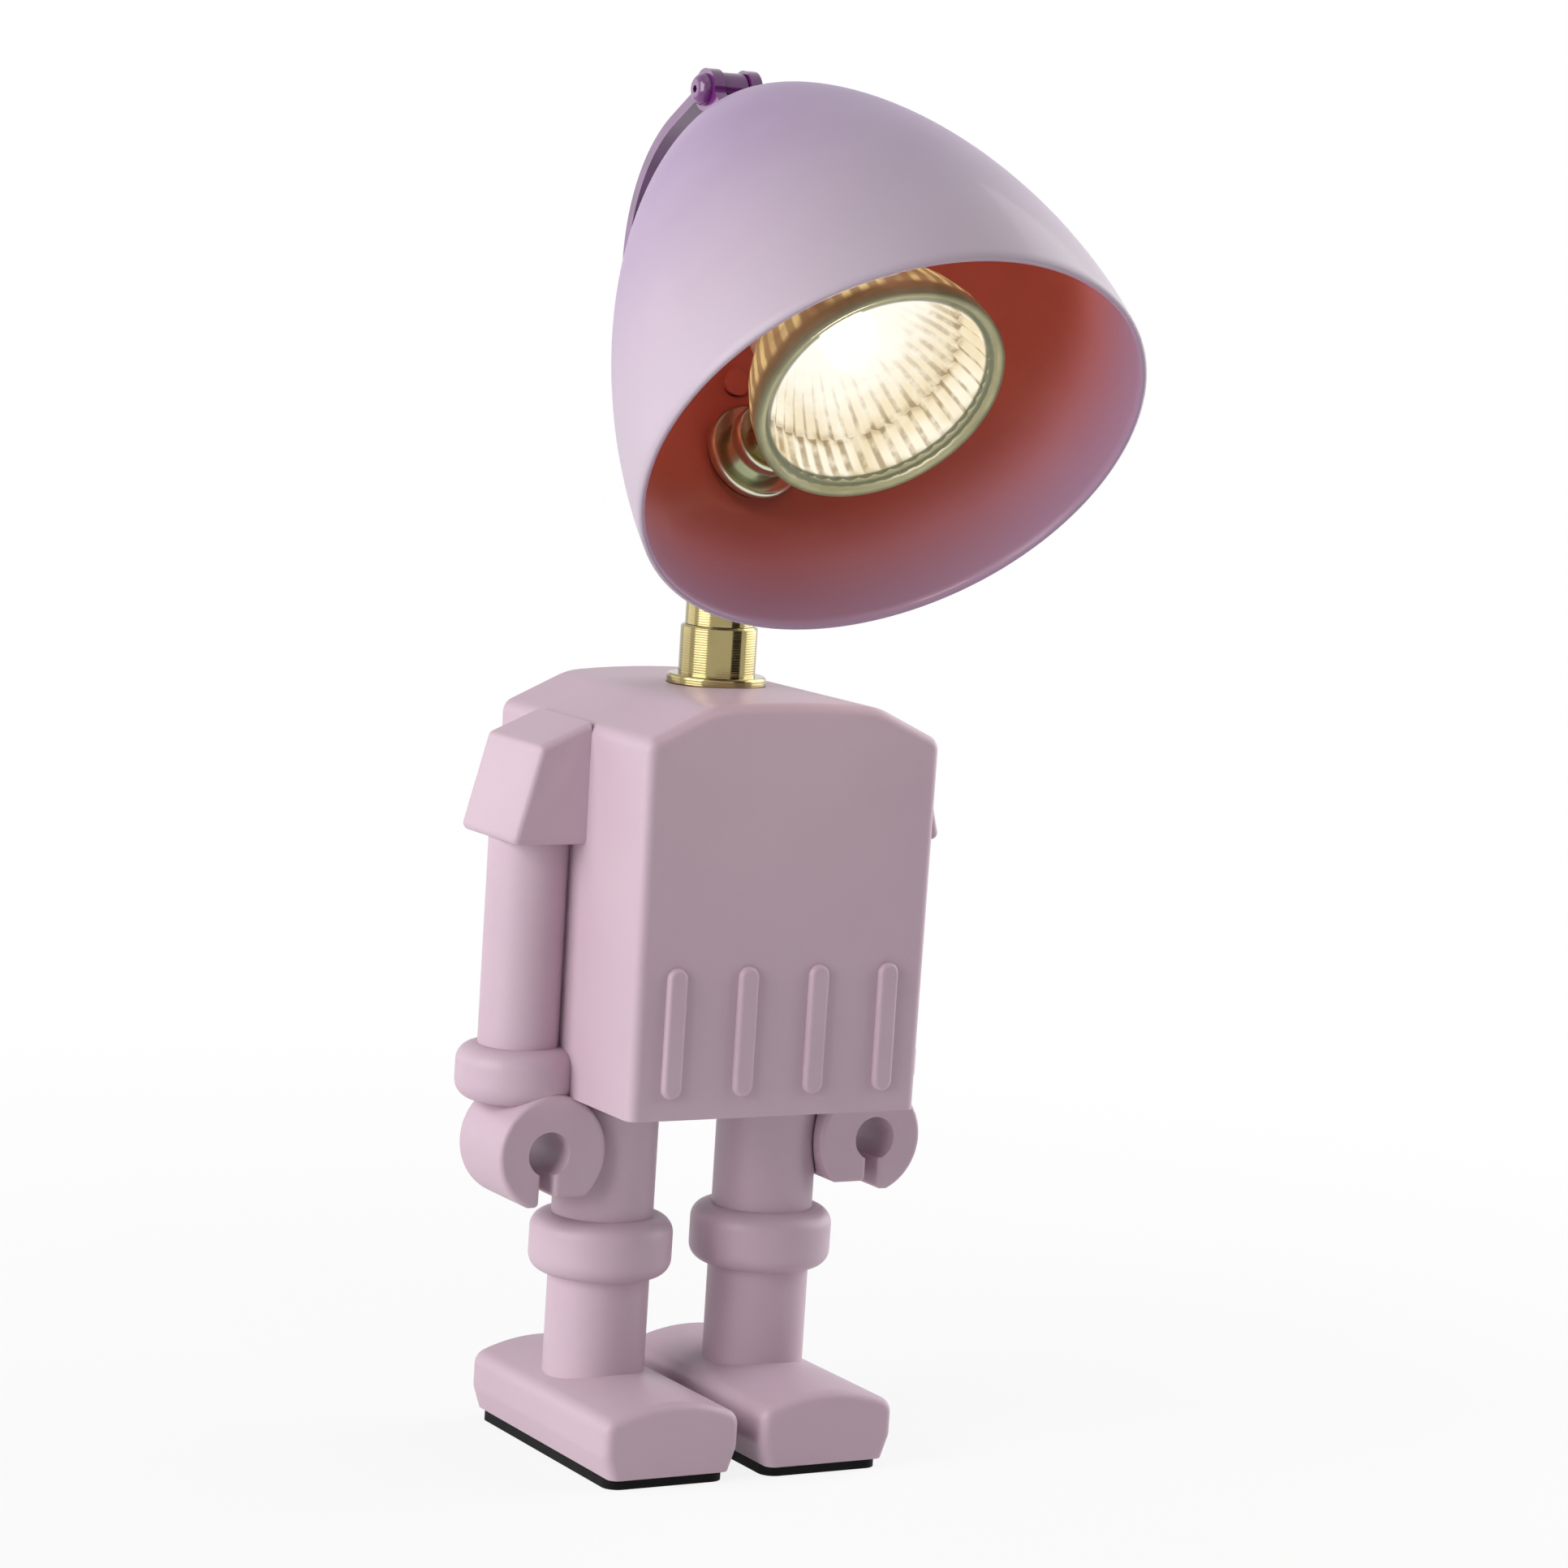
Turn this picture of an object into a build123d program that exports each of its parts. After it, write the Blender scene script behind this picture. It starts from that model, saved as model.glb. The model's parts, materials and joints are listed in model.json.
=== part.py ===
"""Table lamp in the shape of a robot figure: a cast body, a brass neck and an egg-shaped shade.

The figure faces -Y and stands on z = 0, with the origin under the middle of its torso.
Its left side is +X. All sizes are in millimetres.
"""
from build123d import *
import os
from math import atan2, cos, degrees, radians, sin

os.makedirs("parts", exist_ok=True)

# Clearances between pieces
slip = 0.05  # radial play of a pin, bolt or pipe in its hole
running = 0.03  # radial play of the turning neck on its pipe
end_play = 0.1  # axial play of a turning piece
casting_gap = 0.4  # room left between castings that are glued elsewhere

# Torso: a hollow casting, open below
torso_width_low = 63.8
torso_flare = 1.2  # how much wider the torso is at its shoulders
torso_depth = 64.0
torso_bottom = 73.0
torso_shoulder = 146.2
torso_crown = 153.6
crown_width = 37.0
crown_rise = 0.9  # height of the crown's shallow arch
crown_bend = 14.0
shoulder_bend = 3.0
torso_wall = 6.0
torso_edge = 2.2
rib_count = 4
rib_pitch = 15.6
rib_length = 25.5
rib_width = 4.2
rib_proud = 1.2
rib_round = 0.9
rib_low = 77.2
post_radius = 4.5  # corner posts that take the base plate's screws
post_height = 16.0
post_inset = 3.5
boss_radius = 12.5  # flat boss under the crown for the neck's nut
boss_height = 2.0
seat_depth = 0.5  # spot face for the neck flange

# Base plate and its screws
plate_thick = 4.0
plate_gap = 0.3
plate_corner = 2.0
screw_radius = 1.5
screw_head_radius = 2.9
screw_length = 14.0

# Cord inlet in the torso's back
inlet_height = 16.0  # above the torso's underside
grommet_bore = 3.2
grommet_body = 5.0
grommet_lip = 6.8
grommet_lip_thick = 1.6

# Wiring in the torso
terminal_length = 26.0
terminal_depth = 16.0
terminal_height = 13.0
terminal_ways = 3
terminal_pitch = 8.0
terminal_y = -12.0
lead_radius = 1.6

# Arms: shoulder pad, arm, cuff and hand in one casting
arm_stand = 6.8  # of the arm's axis, out from the torso's side
arm_y = 3.2
arm_radius = 8.0
pad_front = -8.5
pad_back = 15.2
pad_bottom = 123.0
pad_side = 19.3  # height of the pad's sloped outer face
pad_roof = 4.7
pad_reach_low = 16.4
pad_reach_high = 11.3
pad_edge = 1.4
cuff_radius = 12.1
cuff_bottom = 71.1
cuff_height = 11.0
cuff_round = 3.6
hand_stand = 4.0
hand_radius = 11.6
hand_front = -9.3
hand_depth = 18.8
hand_edge = 1.0
grip_stand = 4.9
grip_z = 62.3
grip_radius = 4.45
grip_slot = 3.0
hand_trim = 1.0  # how much is cut off below the hand's round
jaw_tip_drop = 1.8  # how much shorter the inner jaw is than the outer one
dowel_radius = 2.5
dowel_length = 12.0
dowel_spread = 11.0

# Legs: thigh, knee ring, shin and foot in one casting
leg_inset = 13.7  # of the leg's axis, in from the torso's side
leg_y = 2.5
leg_share = 0.56  # of the leg's distance from the middle
knee_share = 0.786
knee_height = 12.0
knee_middle = 41.5
knee_round_share = 0.83  # of how far the knee ring stands out
foot_shift = 0.8  # of the foot, inward from its leg
foot_gap = 5.2  # between the two feet
foot_draw = 1.6  # how far each side draws in to the sole
foot_front = -31.0
foot_back = 28.8
foot_flare = 4.6  # height over which the foot's sides draw in to the sole
foot_side = 11.2  # height of the foot's sides above the sole
foot_crown = 14.5  # height of the foot's crown above the sole
foot_corner = 3.2
foot_edge = 2.0
sole_thick = 2.2
sole_inset = 0.25
sole_corner = 3.0
sole_length_inset = 1.4
bolt_radius = 3.0
bolt_head_radius = 5.0
bolt_head_height = 6.0
bolt_sink = 9.0
bolt_socket = 5.0  # across flats
bolt_tail = 1.5  # thread past the nut
washer_radius = 6.0
washer_thick = 1.2
nut_flats = 10.0
nut_thick = 5.0

# Neck: fixed flange, sleeve and hollow pipe, with a tube that turns on the pipe
neck_y = 2.0
pipe_radius = 5.0
pipe_bore = 3.5
pipe_tail = 2.0  # thread below the nut
flange_radius = 9.85
flange_thick = 2.2
flange_round = 0.6
sleeve_radius = 7.65
sleeve_height = 9.8
sleeve_edge = 0.4
tube_radius = 6.85
bush_length = 8.0  # part of the tube that bears on the pipe
tube_bore = 5.95
clip_thick = 0.9
clip_groove = 0.5
clip_radius = 5.6
pipe_above_clip = 1.6
pipe_nut_flats = 17.0
pipe_nut_thick = 4.0
pipe_washer_radius = 10.5
pipe_washer_thick = 1.2

# Shade: a spun egg, open at the mouth, looking down and forward
shade_tilt = 41.9  # degrees below the horizon
shade_radius = 50.0
shade_depth = 91.0
shade_wall = 1.2
egg_side = 1.8  # exponents of the egg's outline
egg_tip = 1.6

# Tilting knuckle between neck and shade
knuckle_height = 194.43
stem_reach = 6.82  # from the shade's wall to the pivot
stem_share = 0.42  # of the shade's depth, from the mouth to the stem
eye_radius = 4.0
tongue_thick = 4.2
tongue_width = 6.4
ear_thick = 2.6
friction_thick = 0.5
friction_radius = 3.7
pivot_radius = 1.5
pivot_head_radius = 2.9
pivot_head_height = 2.0
pivot_nut_radius = 3.4
pivot_nut_height = 3.0
fork_drop = 10.0  # from the pivot down to the tube's top
fork_collar = 1.6
fork_plug = 5.5
shoulder_gap = 0.4  # from the ears to the stem's shoulder
stem_shoulder = 6.4
stem_radius = 4.0
stem_bore = 2.6
stem_end = 3.0  # hollow thread that shows past the nut
stem_washer_radius = 8.6
stem_washer_depth = 3.4
stem_nut_radius = 10.0
stem_nut_flange = 2.4
stem_nut_waist = 6.0
stem_nut_waist_length = 2.6
stem_nut_collar = 7.4
stem_nut_collar_length = 3.4

# Handle on the shade: a lug on the tip and a strap that loops down behind
lug_rise = 6.6  # of the lug's barrel above the shade's tip
lug_radius = 4.2
lug_length = 10.8
lug_foot = 5.0
strap_width = 8.0
strap_eye_width = 5.0
strap_thick = 2.2
strap_eye = 3.6
strap_fall = 30.0  # slope of the strap's upper run, degrees
strap_reach = 32.0  # behind the lug
strap_bend_share = 0.70  # of the strap's upright run
strap_low_bend_share = 0.51
strap_foot_bend = 2.6
strap_foot_rise = 8.8  # along the shade, from its stem
strap_foot_length = 11.0
strap_foot_lift = 0.15
handle_screw_radius = 1.6
handle_screw_head = 3.2
handle_screw_head_height = 2.2
rivet_radius = 1.5
rivet_head = 2.7
rivet_head_height = 1.1

# Reflector bulb on its own axis, tipped up a little from the shade's
bulb_tip = 5.9  # degrees
bulb_offset = -3.2  # of the bulb's face from the shade's axis, upward
bulb_radius = 24.8
bulb_lip = 2.4
bulb_wall = 1.5
bowl_depth = 30.0
bowl_neck = 9.4
glass_thick = 1.6
glass_set_back = 0.9
capsule_radius = 4.6
capsule_start = 13.0
base_length = 17.0
base_radius = 9.0
pin_spread = 10.0
pin_radius = 1.6
pin_foot_radius = 2.5
pin_length = 4.0
pin_foot_length = 3.0

# Lampholder and what carries it
holder_radius = 13.4
holder_length = 18.0
holder_edge = 1.2
holder_hang = 15.8  # from the shade's tip to the holder's back
holder_overlap = 1.0  # how far the bulb's base sits in the holder's mouth
holder_screw_radius = 1.5
holder_screw_spread = 18.0
holder_screw_length = 8.0
holder_screw_head = 2.4
holder_screw_head_height = 1.6
lead_entry = 11.0  # of the lead, from the holder's front
lead_depth = 3.0
pillar_radius = 5.0
pillar_foot = 12.2
pillar_foot_thick = 2.6
stud_radius = 2.0
stud_length = 11.0

# Levels and places worked out from the sizes above
plate_top = torso_bottom + plate_thick
flange_seat = torso_crown - seat_depth
sleeve_bottom = flange_seat + flange_thick
sleeve_top = sleeve_bottom + sleeve_height
tube_bottom = sleeve_top + end_play
bush_top = tube_bottom + bush_length
clip_bottom = bush_top + end_play
pipe_top = clip_bottom + clip_thick + pipe_above_clip
boss_bottom = torso_crown - torso_wall - boss_height
pipe_nut_top = boss_bottom - pipe_washer_thick
pipe_bottom = pipe_nut_top - pipe_nut_thick - pipe_tail
cavity_x = torso_width_low / 2 - torso_wall
cavity_y = torso_depth / 2 - torso_wall
post_x = cavity_x - post_inset
post_y = cavity_y - post_inset
bolt_seat = sole_thick + bolt_sink
bolt_top = plate_top + washer_thick + nut_thick + bolt_tail
torso_width_high = torso_width_low + torso_flare
torso_side = torso_width_low / 2
arm_x = torso_side + arm_stand
pad_out_low = torso_side + pad_reach_low
pad_out_high = torso_side + pad_reach_high
hand_x = torso_side + hand_stand
grip_x = torso_side + grip_stand
leg_x = torso_side - leg_inset
leg_radius = leg_share * leg_x
knee_radius = knee_share * leg_x
knee_round = knee_round_share * (knee_radius - leg_radius)
foot_x = leg_x - foot_shift
foot_width = 2 * foot_x - foot_gap
foot_width_sole = foot_width - 2 * foot_draw
pad_eave = pad_bottom + pad_side
pad_ridge = pad_eave + pad_roof
dowel_height = pad_bottom + pad_side / 2
side_lean = degrees(atan2((torso_width_high - torso_width_low) / 2, torso_shoulder - torso_bottom))

tilt = radians(shade_tilt)
shade_dir = Vector(0, cos(tilt), sin(tilt))
shade_out = Vector(0, sin(tilt), -cos(tilt))


def section(origin, along):
    """Upright plane through the figure's middle, with its local y along the given direction."""
    return Plane(origin=origin, x_dir=(0, along.Z, -along.Y), z_dir=(1, 0, 0))


def across(origin, along):
    """Plane square to the given direction."""
    return Plane(origin=origin, x_dir=(1, 0, 0), z_dir=along)


def turned(plane, points):
    """Closed outline of a turned piece: local x is the radius, local y runs along its axis."""
    with BuildSketch(plane) as face:
        with BuildLine():
            Polyline(*points, close=True)
        make_face()
    return face.sketch


def egg_radius(station, inset=0.0):
    """Radius of the egg, moved inward by inset, at a depth from its mouth."""
    share = min(station / (shade_depth - inset), 1.0)
    return (shade_radius - inset) * (1 - share**egg_side) ** (1 / egg_tip)


def egg_points(inset, steps=9):
    """Points on the egg's outline from the rim to the tip."""
    points = []
    for step in range(steps + 1):
        turn = radians(90 * step / steps)
        along = (shade_depth - inset) * sin(turn) ** (2 / egg_side)
        out = (shade_radius - inset) * cos(turn) ** (2 / egg_tip)
        points.append((out if step < steps else 0, along))
    return points


def egg_face(inset):
    """Half outline of the egg, moved inward by inset, as a face."""
    with BuildSketch(section(mouth, shade_dir)) as face:
        with BuildLine():
            Spline(*egg_points(inset), tangents=((0, 1), (-1, 0)))
            Line((0, shade_depth - inset), (0, 0))
            Line((0, 0), (shade_radius - inset, 0))
        make_face()
    return face.sketch


def wall_point(station):
    """Point on the egg's outside, on its back line."""
    return mouth + shade_dir * station + shade_out * egg_radius(station)


def wall_normal(station):
    """Outward direction of the egg's back line."""
    slope = egg_radius(station + 0.5) - egg_radius(station - 0.5)
    return (shade_out - shade_dir * slope).normalized()


# The stem leaves the shade square to its wall, and tilts where it crosses the neck's axis
pivot = Vector(0, neck_y, knuckle_height)
stem_station = stem_share * shade_depth
stem_out = wall_normal(stem_station)
stem_in = stem_out * -1
stem_root = pivot + stem_in * stem_reach
stem_axis = Axis(stem_root, stem_in)
mouth = stem_root - shade_dir * stem_station - shade_out * egg_radius(stem_station)
shade_axis = Axis(mouth, shade_dir)
tube_top = pivot.Z - fork_drop
ear_gap = tongue_thick + 2 * friction_thick + 2 * slip
ear_outer = ear_gap / 2 + ear_thick

# The bulb's axis
bulb_lean = radians(bulb_tip)
bulb_dir = shade_dir * cos(bulb_lean) + shade_out * sin(bulb_lean)
bulb_out = Vector(0, bulb_dir.Z, -bulb_dir.Y)
base_end = bowl_depth + base_length
holder_front = base_end - holder_overlap
holder_back = holder_front + holder_length
bulb_station = shade_depth - holder_hang - holder_back
bulb_face = mouth + shade_dir * bulb_station + shade_out * bulb_offset
bulb_axis = Axis(bulb_face, bulb_dir)
bulb_section = section(bulb_face, bulb_dir)
lead_mouth = bulb_face + bulb_dir * (holder_front + lead_entry) + bulb_out * holder_radius
lug_station = shade_depth + lug_rise
lug_middle = mouth + shade_dir * lug_station
lug_slot = strap_eye_width + 2 * casting_gap
strap_back = lug_middle.Y + strap_reach
strap_foot_station = stem_station + strap_foot_rise
rivet_station = strap_foot_station + strap_foot_length * 0.55


def torso_outline(inset, foot):
    """Front outline of the torso, moved inward by inset and standing at height foot."""
    low = torso_width_low / 2 - inset
    high = torso_width_high / 2 - inset
    crown = crown_width / 2
    spring = torso_crown - crown_rise - inset
    shoulder = torso_shoulder - inset
    Polyline(
        (-crown, spring), (-high, shoulder), (-low, foot), (low, foot), (high, shoulder), (crown, spring)
    )
    ThreePointArc((-crown, spring), (0, torso_crown - inset), (crown, spring))


# Torso
with BuildPart() as torso:
    with BuildSketch(Plane.XZ) as outline:
        with BuildLine():
            torso_outline(0, torso_bottom)
        make_face()
        fillet(outline.vertices().group_by(Axis.Y)[-1], crown_bend)
        fillet(outline.vertices().group_by(Axis.Y)[1], shoulder_bend)
    extrude(amount=torso_depth / 2, both=True)
    rims = torso.faces().filter_by(Axis.Y).edges()
    fillet(rims.filter_by(lambda edge: edge.center().Z > torso_bottom + torso_edge), torso_edge)
    with BuildSketch(Plane.XZ.offset(torso_depth / 2)):
        with Locations((0, rib_low + rib_length / 2)):
            with GridLocations(rib_pitch, 1, rib_count, 1):
                SlotOverall(rib_length, rib_width, rotation=90)
    extrude(amount=rib_proud)
    fillet(torso.faces().group_by(Axis.Y)[0].edges(), rib_round)
    with BuildSketch(Plane.XZ):
        with BuildLine():
            torso_outline(torso_wall, torso_bottom - 1)
        make_face()
    extrude(amount=torso_depth / 2 - torso_wall, both=True, mode=Mode.SUBTRACT)
    with BuildSketch(Plane.XY.offset(boss_bottom)):
        with Locations((0, neck_y)):
            Circle(boss_radius)
    extrude(amount=boss_height + torso_wall / 2)
    with BuildSketch(Plane.XY.offset(plate_top)):
        with GridLocations(2 * post_x, 2 * post_y, 2, 2):
            Circle(post_radius)
    extrude(amount=post_height)
    with BuildSketch(Plane.XY.offset(plate_top)):
        with GridLocations(2 * post_x, 2 * post_y, 2, 2):
            Circle(screw_radius)
    extrude(amount=screw_length, mode=Mode.SUBTRACT)
    with BuildSketch(Plane.XY.offset(boss_bottom)):
        with Locations((0, neck_y)):
            Circle(pipe_radius + slip)
    extrude(amount=torso_crown - boss_bottom, mode=Mode.SUBTRACT)
    with BuildSketch(Plane.XY.offset(flange_seat)):
        with Locations((0, neck_y)):
            Circle(flange_radius + slip)
    extrude(amount=seat_depth, mode=Mode.SUBTRACT)
    with BuildSketch(Plane.XZ.offset(-torso_depth / 2)):
        with Locations((0, torso_bottom + inlet_height)):
            Circle(grommet_body)
    extrude(amount=torso_wall, mode=Mode.SUBTRACT)
    with BuildSketch(Plane.YZ.offset(-torso_width_high)):
        with Locations((arm_y - dowel_spread / 2, dowel_height), (arm_y + dowel_spread / 2, dowel_height)):
            Circle(dowel_radius + slip)
    extrude(amount=2 * torso_width_high, mode=Mode.SUBTRACT)
torso.part.label = "torso"
export_step(torso.part, "parts/torso.step")

# Base plate
with BuildPart() as base_plate:
    with BuildSketch(Plane.XY.offset(torso_bottom)):
        RectangleRounded(2 * (cavity_x - plate_gap), 2 * (cavity_y - plate_gap), plate_corner)
        with Locations((-leg_x, leg_y), (leg_x, leg_y)):
            Circle(bolt_radius + slip, mode=Mode.SUBTRACT)
    extrude(amount=plate_thick)
    with Locations(Plane(origin=(0, 0, torso_bottom), z_dir=(0, 0, -1))):
        with GridLocations(2 * post_x, 2 * post_y, 2, 2):
            CounterSinkHole(screw_radius + slip, screw_head_radius + slip, counter_sink_angle=90)
base_plate.part.label = "base_plate"
export_step(base_plate.part, "parts/base_plate.step")

with BuildPart() as base_plate_screws:
    for corner in GridLocations(2 * post_x, 2 * post_y, 2, 2):
        spot = Vector(corner.position.X, corner.position.Y, torso_bottom)
        head = screw_head_radius - screw_radius
        outline = [
            (0, 0),
            (screw_head_radius, 0),
            (screw_radius, head),
            (screw_radius, screw_length),
            (0, screw_length),
        ]
        revolve(turned(section(spot, Vector(0, 0, 1)), outline), axis=Axis(spot, (0, 0, 1)))
base_plate_screws.part.label = "base_plate_screws"
export_step(base_plate_screws.part, "parts/base_plate_screws.step")

# Cord grommet in the back
inlet = Vector(0, torso_depth / 2 + grommet_lip_thick, torso_bottom + inlet_height)
with BuildPart() as cord_grommet:
    wall_end = grommet_lip_thick + torso_wall
    outline = [
        (grommet_bore, 0),
        (grommet_lip, 0),
        (grommet_lip, grommet_lip_thick),
        (grommet_body, grommet_lip_thick),
        (grommet_body, wall_end),
        (grommet_lip, wall_end),
        (grommet_lip, wall_end + grommet_lip_thick),
        (grommet_bore, wall_end + grommet_lip_thick),
    ]
    revolve(turned(section(inlet, Vector(0, -1, 0)), outline), axis=Axis(inlet, (0, -1, 0)))
    fillet(cord_grommet.edges().group_by(Axis.Y)[-1], grommet_lip_thick / 3)
cord_grommet.part.label = "cord_grommet"
export_step(cord_grommet.part, "parts/cord_grommet.step")

# Terminal block and the lead up to the neck
with BuildPart() as terminal_block:
    with BuildSketch(Plane.XY.offset(plate_top)):
        with Locations((0, terminal_y)):
            RectangleRounded(terminal_length, terminal_depth, 1.0)
    extrude(amount=terminal_height)
    with BuildSketch(Plane.XZ.offset(-terminal_y)):
        with Locations((0, plate_top + terminal_height / 3)):
            with GridLocations(terminal_pitch, 1, terminal_ways, 1):
                Circle(lead_radius)
    extrude(amount=terminal_depth / 2, both=True, mode=Mode.SUBTRACT)
    with BuildSketch(Plane.XY.offset(plate_top + terminal_height)):
        with Locations((0, terminal_y)):
            with GridLocations(terminal_pitch, 1, terminal_ways, 1):
                Circle(2 * lead_radius)
    extrude(amount=-terminal_height / 3, mode=Mode.SUBTRACT)
terminal_block.part.label = "terminal_block"
export_step(terminal_block.part, "parts/terminal_block.step")

lead_start = Vector(0, terminal_y + terminal_depth / 2, plate_top + terminal_height / 3)
lead_turn = Vector(0, neck_y, lead_start.Z)
lead_end = Vector(0, neck_y, pipe_bottom + pipe_tail)
with BuildPart() as torso_lead:
    with BuildLine() as route:
        FilletPolyline(lead_start, lead_turn, lead_end, radius=0.9 * (neck_y - lead_start.Y))
    with BuildSketch(Plane(origin=lead_start, z_dir=(0, 1, 0))):
        Circle(lead_radius)
    sweep()
torso_lead.part.label = "torso_lead"
export_step(torso_lead.part, "parts/torso_lead.step")

# Arm with shoulder pad, cuff and hand: the left one is modelled, the right one mirrors it
side_plane = Plane(
    origin=(torso_width_low / 2, 0, torso_bottom),
    x_dir=(0, 1, 0),
    z_dir=(cos(radians(side_lean)), 0, -sin(radians(side_lean))),
)
with BuildPart() as arm_left:
    with BuildSketch(Plane.XZ.offset(-pad_front)):
        with BuildLine():
            Polyline(
                (torso_width_low / 2 - 1, pad_bottom),
                (pad_out_low, pad_bottom),
                (pad_out_high, pad_eave),
                (torso_width_high / 2, pad_ridge),
                (torso_width_low / 2 - 1, pad_ridge),
                close=True,
            )
        make_face()
    extrude(amount=pad_front - pad_back)
    outer = arm_left.edges().filter_by(lambda edge: edge.center().X > torso_width_high / 2 + pad_edge)
    fillet(outer, pad_edge)
    with BuildSketch(Plane.XY.offset(cuff_bottom + cuff_height / 2)):
        with Locations((arm_x, arm_y)):
            Circle(arm_radius)
    extrude(amount=pad_bottom + 2 * pad_edge - cuff_bottom - cuff_height / 2)
    with BuildSketch(Plane.XY.offset(cuff_bottom)):
        with Locations((arm_x, arm_y)):
            Circle(cuff_radius)
    extrude(amount=cuff_height)
    cuff_rims = arm_left.edges().filter_by(GeomType.CIRCLE).filter_by(
        lambda edge: abs(edge.radius - cuff_radius) < slip
    )
    fillet(cuff_rims, cuff_round)
    split(bisect_by=side_plane, keep=Keep.TOP)
    with BuildSketch(Plane.XZ.offset(-hand_front)) as palm:
        with Locations((hand_x, grip_z)):
            Circle(hand_radius)
        with Locations((grip_x, grip_z)):
            Circle(grip_radius, mode=Mode.SUBTRACT)
        with Locations((grip_x, grip_z - hand_radius / 2)):
            Rectangle(grip_slot, hand_radius + grip_radius, mode=Mode.SUBTRACT)
        with Locations((grip_x - hand_radius, grip_z - hand_radius)):
            Rectangle(2 * hand_radius, 2 * (hand_trim + jaw_tip_drop), mode=Mode.SUBTRACT)
        with Locations((grip_x, grip_z - hand_radius)):
            Rectangle(4 * hand_radius, 2 * hand_trim, mode=Mode.SUBTRACT)
        fillet(palm.vertices().group_by(Axis.Y)[0:2], grip_slot / 3)
    extrude(amount=-hand_depth)
    hand_rims = arm_left.edges().filter_by(GeomType.CIRCLE).filter_by(
        lambda edge: abs(edge.radius - hand_radius) < slip
    )
    fillet(hand_rims, hand_edge)
    with BuildSketch(Plane.XY.offset(grip_z - hand_radius)):
        with Locations((leg_x, leg_y)):
            Circle(leg_radius + casting_gap)
    extrude(amount=torso_bottom - grip_z + hand_radius, mode=Mode.SUBTRACT)
    with BuildSketch(Plane.YZ.offset(torso_width_low / 2)):
        with Locations((arm_y - dowel_spread / 2, dowel_height), (arm_y + dowel_spread / 2, dowel_height)):
            Circle(dowel_radius + slip)
    extrude(amount=dowel_length / 2 + slip, mode=Mode.SUBTRACT)
arm_left.part.label = "arm_left"
export_step(arm_left.part, "parts/arm_left.step")

with BuildPart() as arm_right:
    mirror(arm_left.part, about=Plane.YZ)
arm_right.part.label = "arm_right"
export_step(arm_right.part, "parts/arm_right.step")

with BuildPart() as arm_dowels:
    for side in (-1, 1):
        start = side * (torso_width_low / 2 - torso_wall)
        with BuildSketch(Plane.YZ.offset(start)):
            half = dowel_spread / 2
            with Locations((arm_y - half, dowel_height), (arm_y + half, dowel_height)):
                Circle(dowel_radius)
        extrude(amount=side * dowel_length)
arm_dowels.part.label = "arm_dowels"
export_step(arm_dowels.part, "parts/arm_dowels.step")

# Leg with knee ring and foot: the left one is modelled, the right one mirrors it
with BuildPart() as leg_left:
    with BuildSketch(Plane.XZ.offset(-foot_front)) as instep:
        with BuildLine():
            wide = foot_width / 2
            narrow = foot_width_sole / 2
            side_top = sole_thick + foot_side
            Polyline(
                (foot_x - wide, side_top),
                (foot_x - wide, sole_thick + foot_flare),
                (foot_x - narrow, sole_thick),
                (foot_x + narrow, sole_thick),
                (foot_x + wide, sole_thick + foot_flare),
                (foot_x + wide, side_top),
            )
            ThreePointArc(
                (foot_x - wide, side_top), (foot_x, sole_thick + foot_crown), (foot_x + wide, side_top)
            )
        make_face()
        fillet(instep.vertices().group_by(Axis.Y)[-1], foot_corner)
        fillet(instep.vertices().group_by(Axis.Y)[1], foot_corner)
    extrude(amount=foot_front - foot_back)
    toes = leg_left.faces().filter_by(Axis.Y).edges()
    fillet(toes.filter_by(lambda edge: edge.center().Z > sole_thick + foot_edge / 2), foot_edge)
    with BuildSketch(Plane.XY.offset(sole_thick + foot_side)):
        with Locations((leg_x, leg_y)):
            Circle(leg_radius)
    extrude(amount=torso_bottom - sole_thick - foot_side)
    with BuildSketch(Plane.XY.offset(knee_middle - knee_height / 2)):
        with Locations((leg_x, leg_y)):
            Circle(knee_radius)
    extrude(amount=knee_height)
    knee_rims = leg_left.edges().filter_by(GeomType.CIRCLE).filter_by(
        lambda edge: abs(edge.radius - knee_radius) < slip
    )
    fillet(knee_rims, knee_round)
    with BuildSketch(Plane.XY.offset(sole_thick)):
        with Locations((leg_x, leg_y)):
            Circle(bolt_radius + slip)
    extrude(amount=torso_bottom, mode=Mode.SUBTRACT)
    with BuildSketch(Plane.XY.offset(sole_thick)):
        with Locations((leg_x, leg_y)):
            Circle(bolt_head_radius + casting_gap)
    extrude(amount=bolt_sink, mode=Mode.SUBTRACT)
leg_left.part.label = "leg_left"
export_step(leg_left.part, "parts/leg_left.step")

with BuildPart() as leg_right:
    mirror(leg_left.part, about=Plane.YZ)
leg_right.part.label = "leg_right"
export_step(leg_right.part, "parts/leg_right.step")

with BuildPart() as sole_left:
    with BuildSketch():
        with Locations((foot_x, (foot_front + foot_back) / 2)):
            sole_length = foot_back - foot_front - 2 * sole_length_inset
            RectangleRounded(foot_width_sole - 2 * sole_inset, sole_length, sole_corner)
    extrude(amount=sole_thick)
sole_left.part.label = "sole_left"
export_step(sole_left.part, "parts/sole_left.step")

with BuildPart() as sole_right:
    mirror(sole_left.part, about=Plane.YZ)
sole_right.part.label = "sole_right"
export_step(sole_right.part, "parts/sole_right.step")

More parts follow.
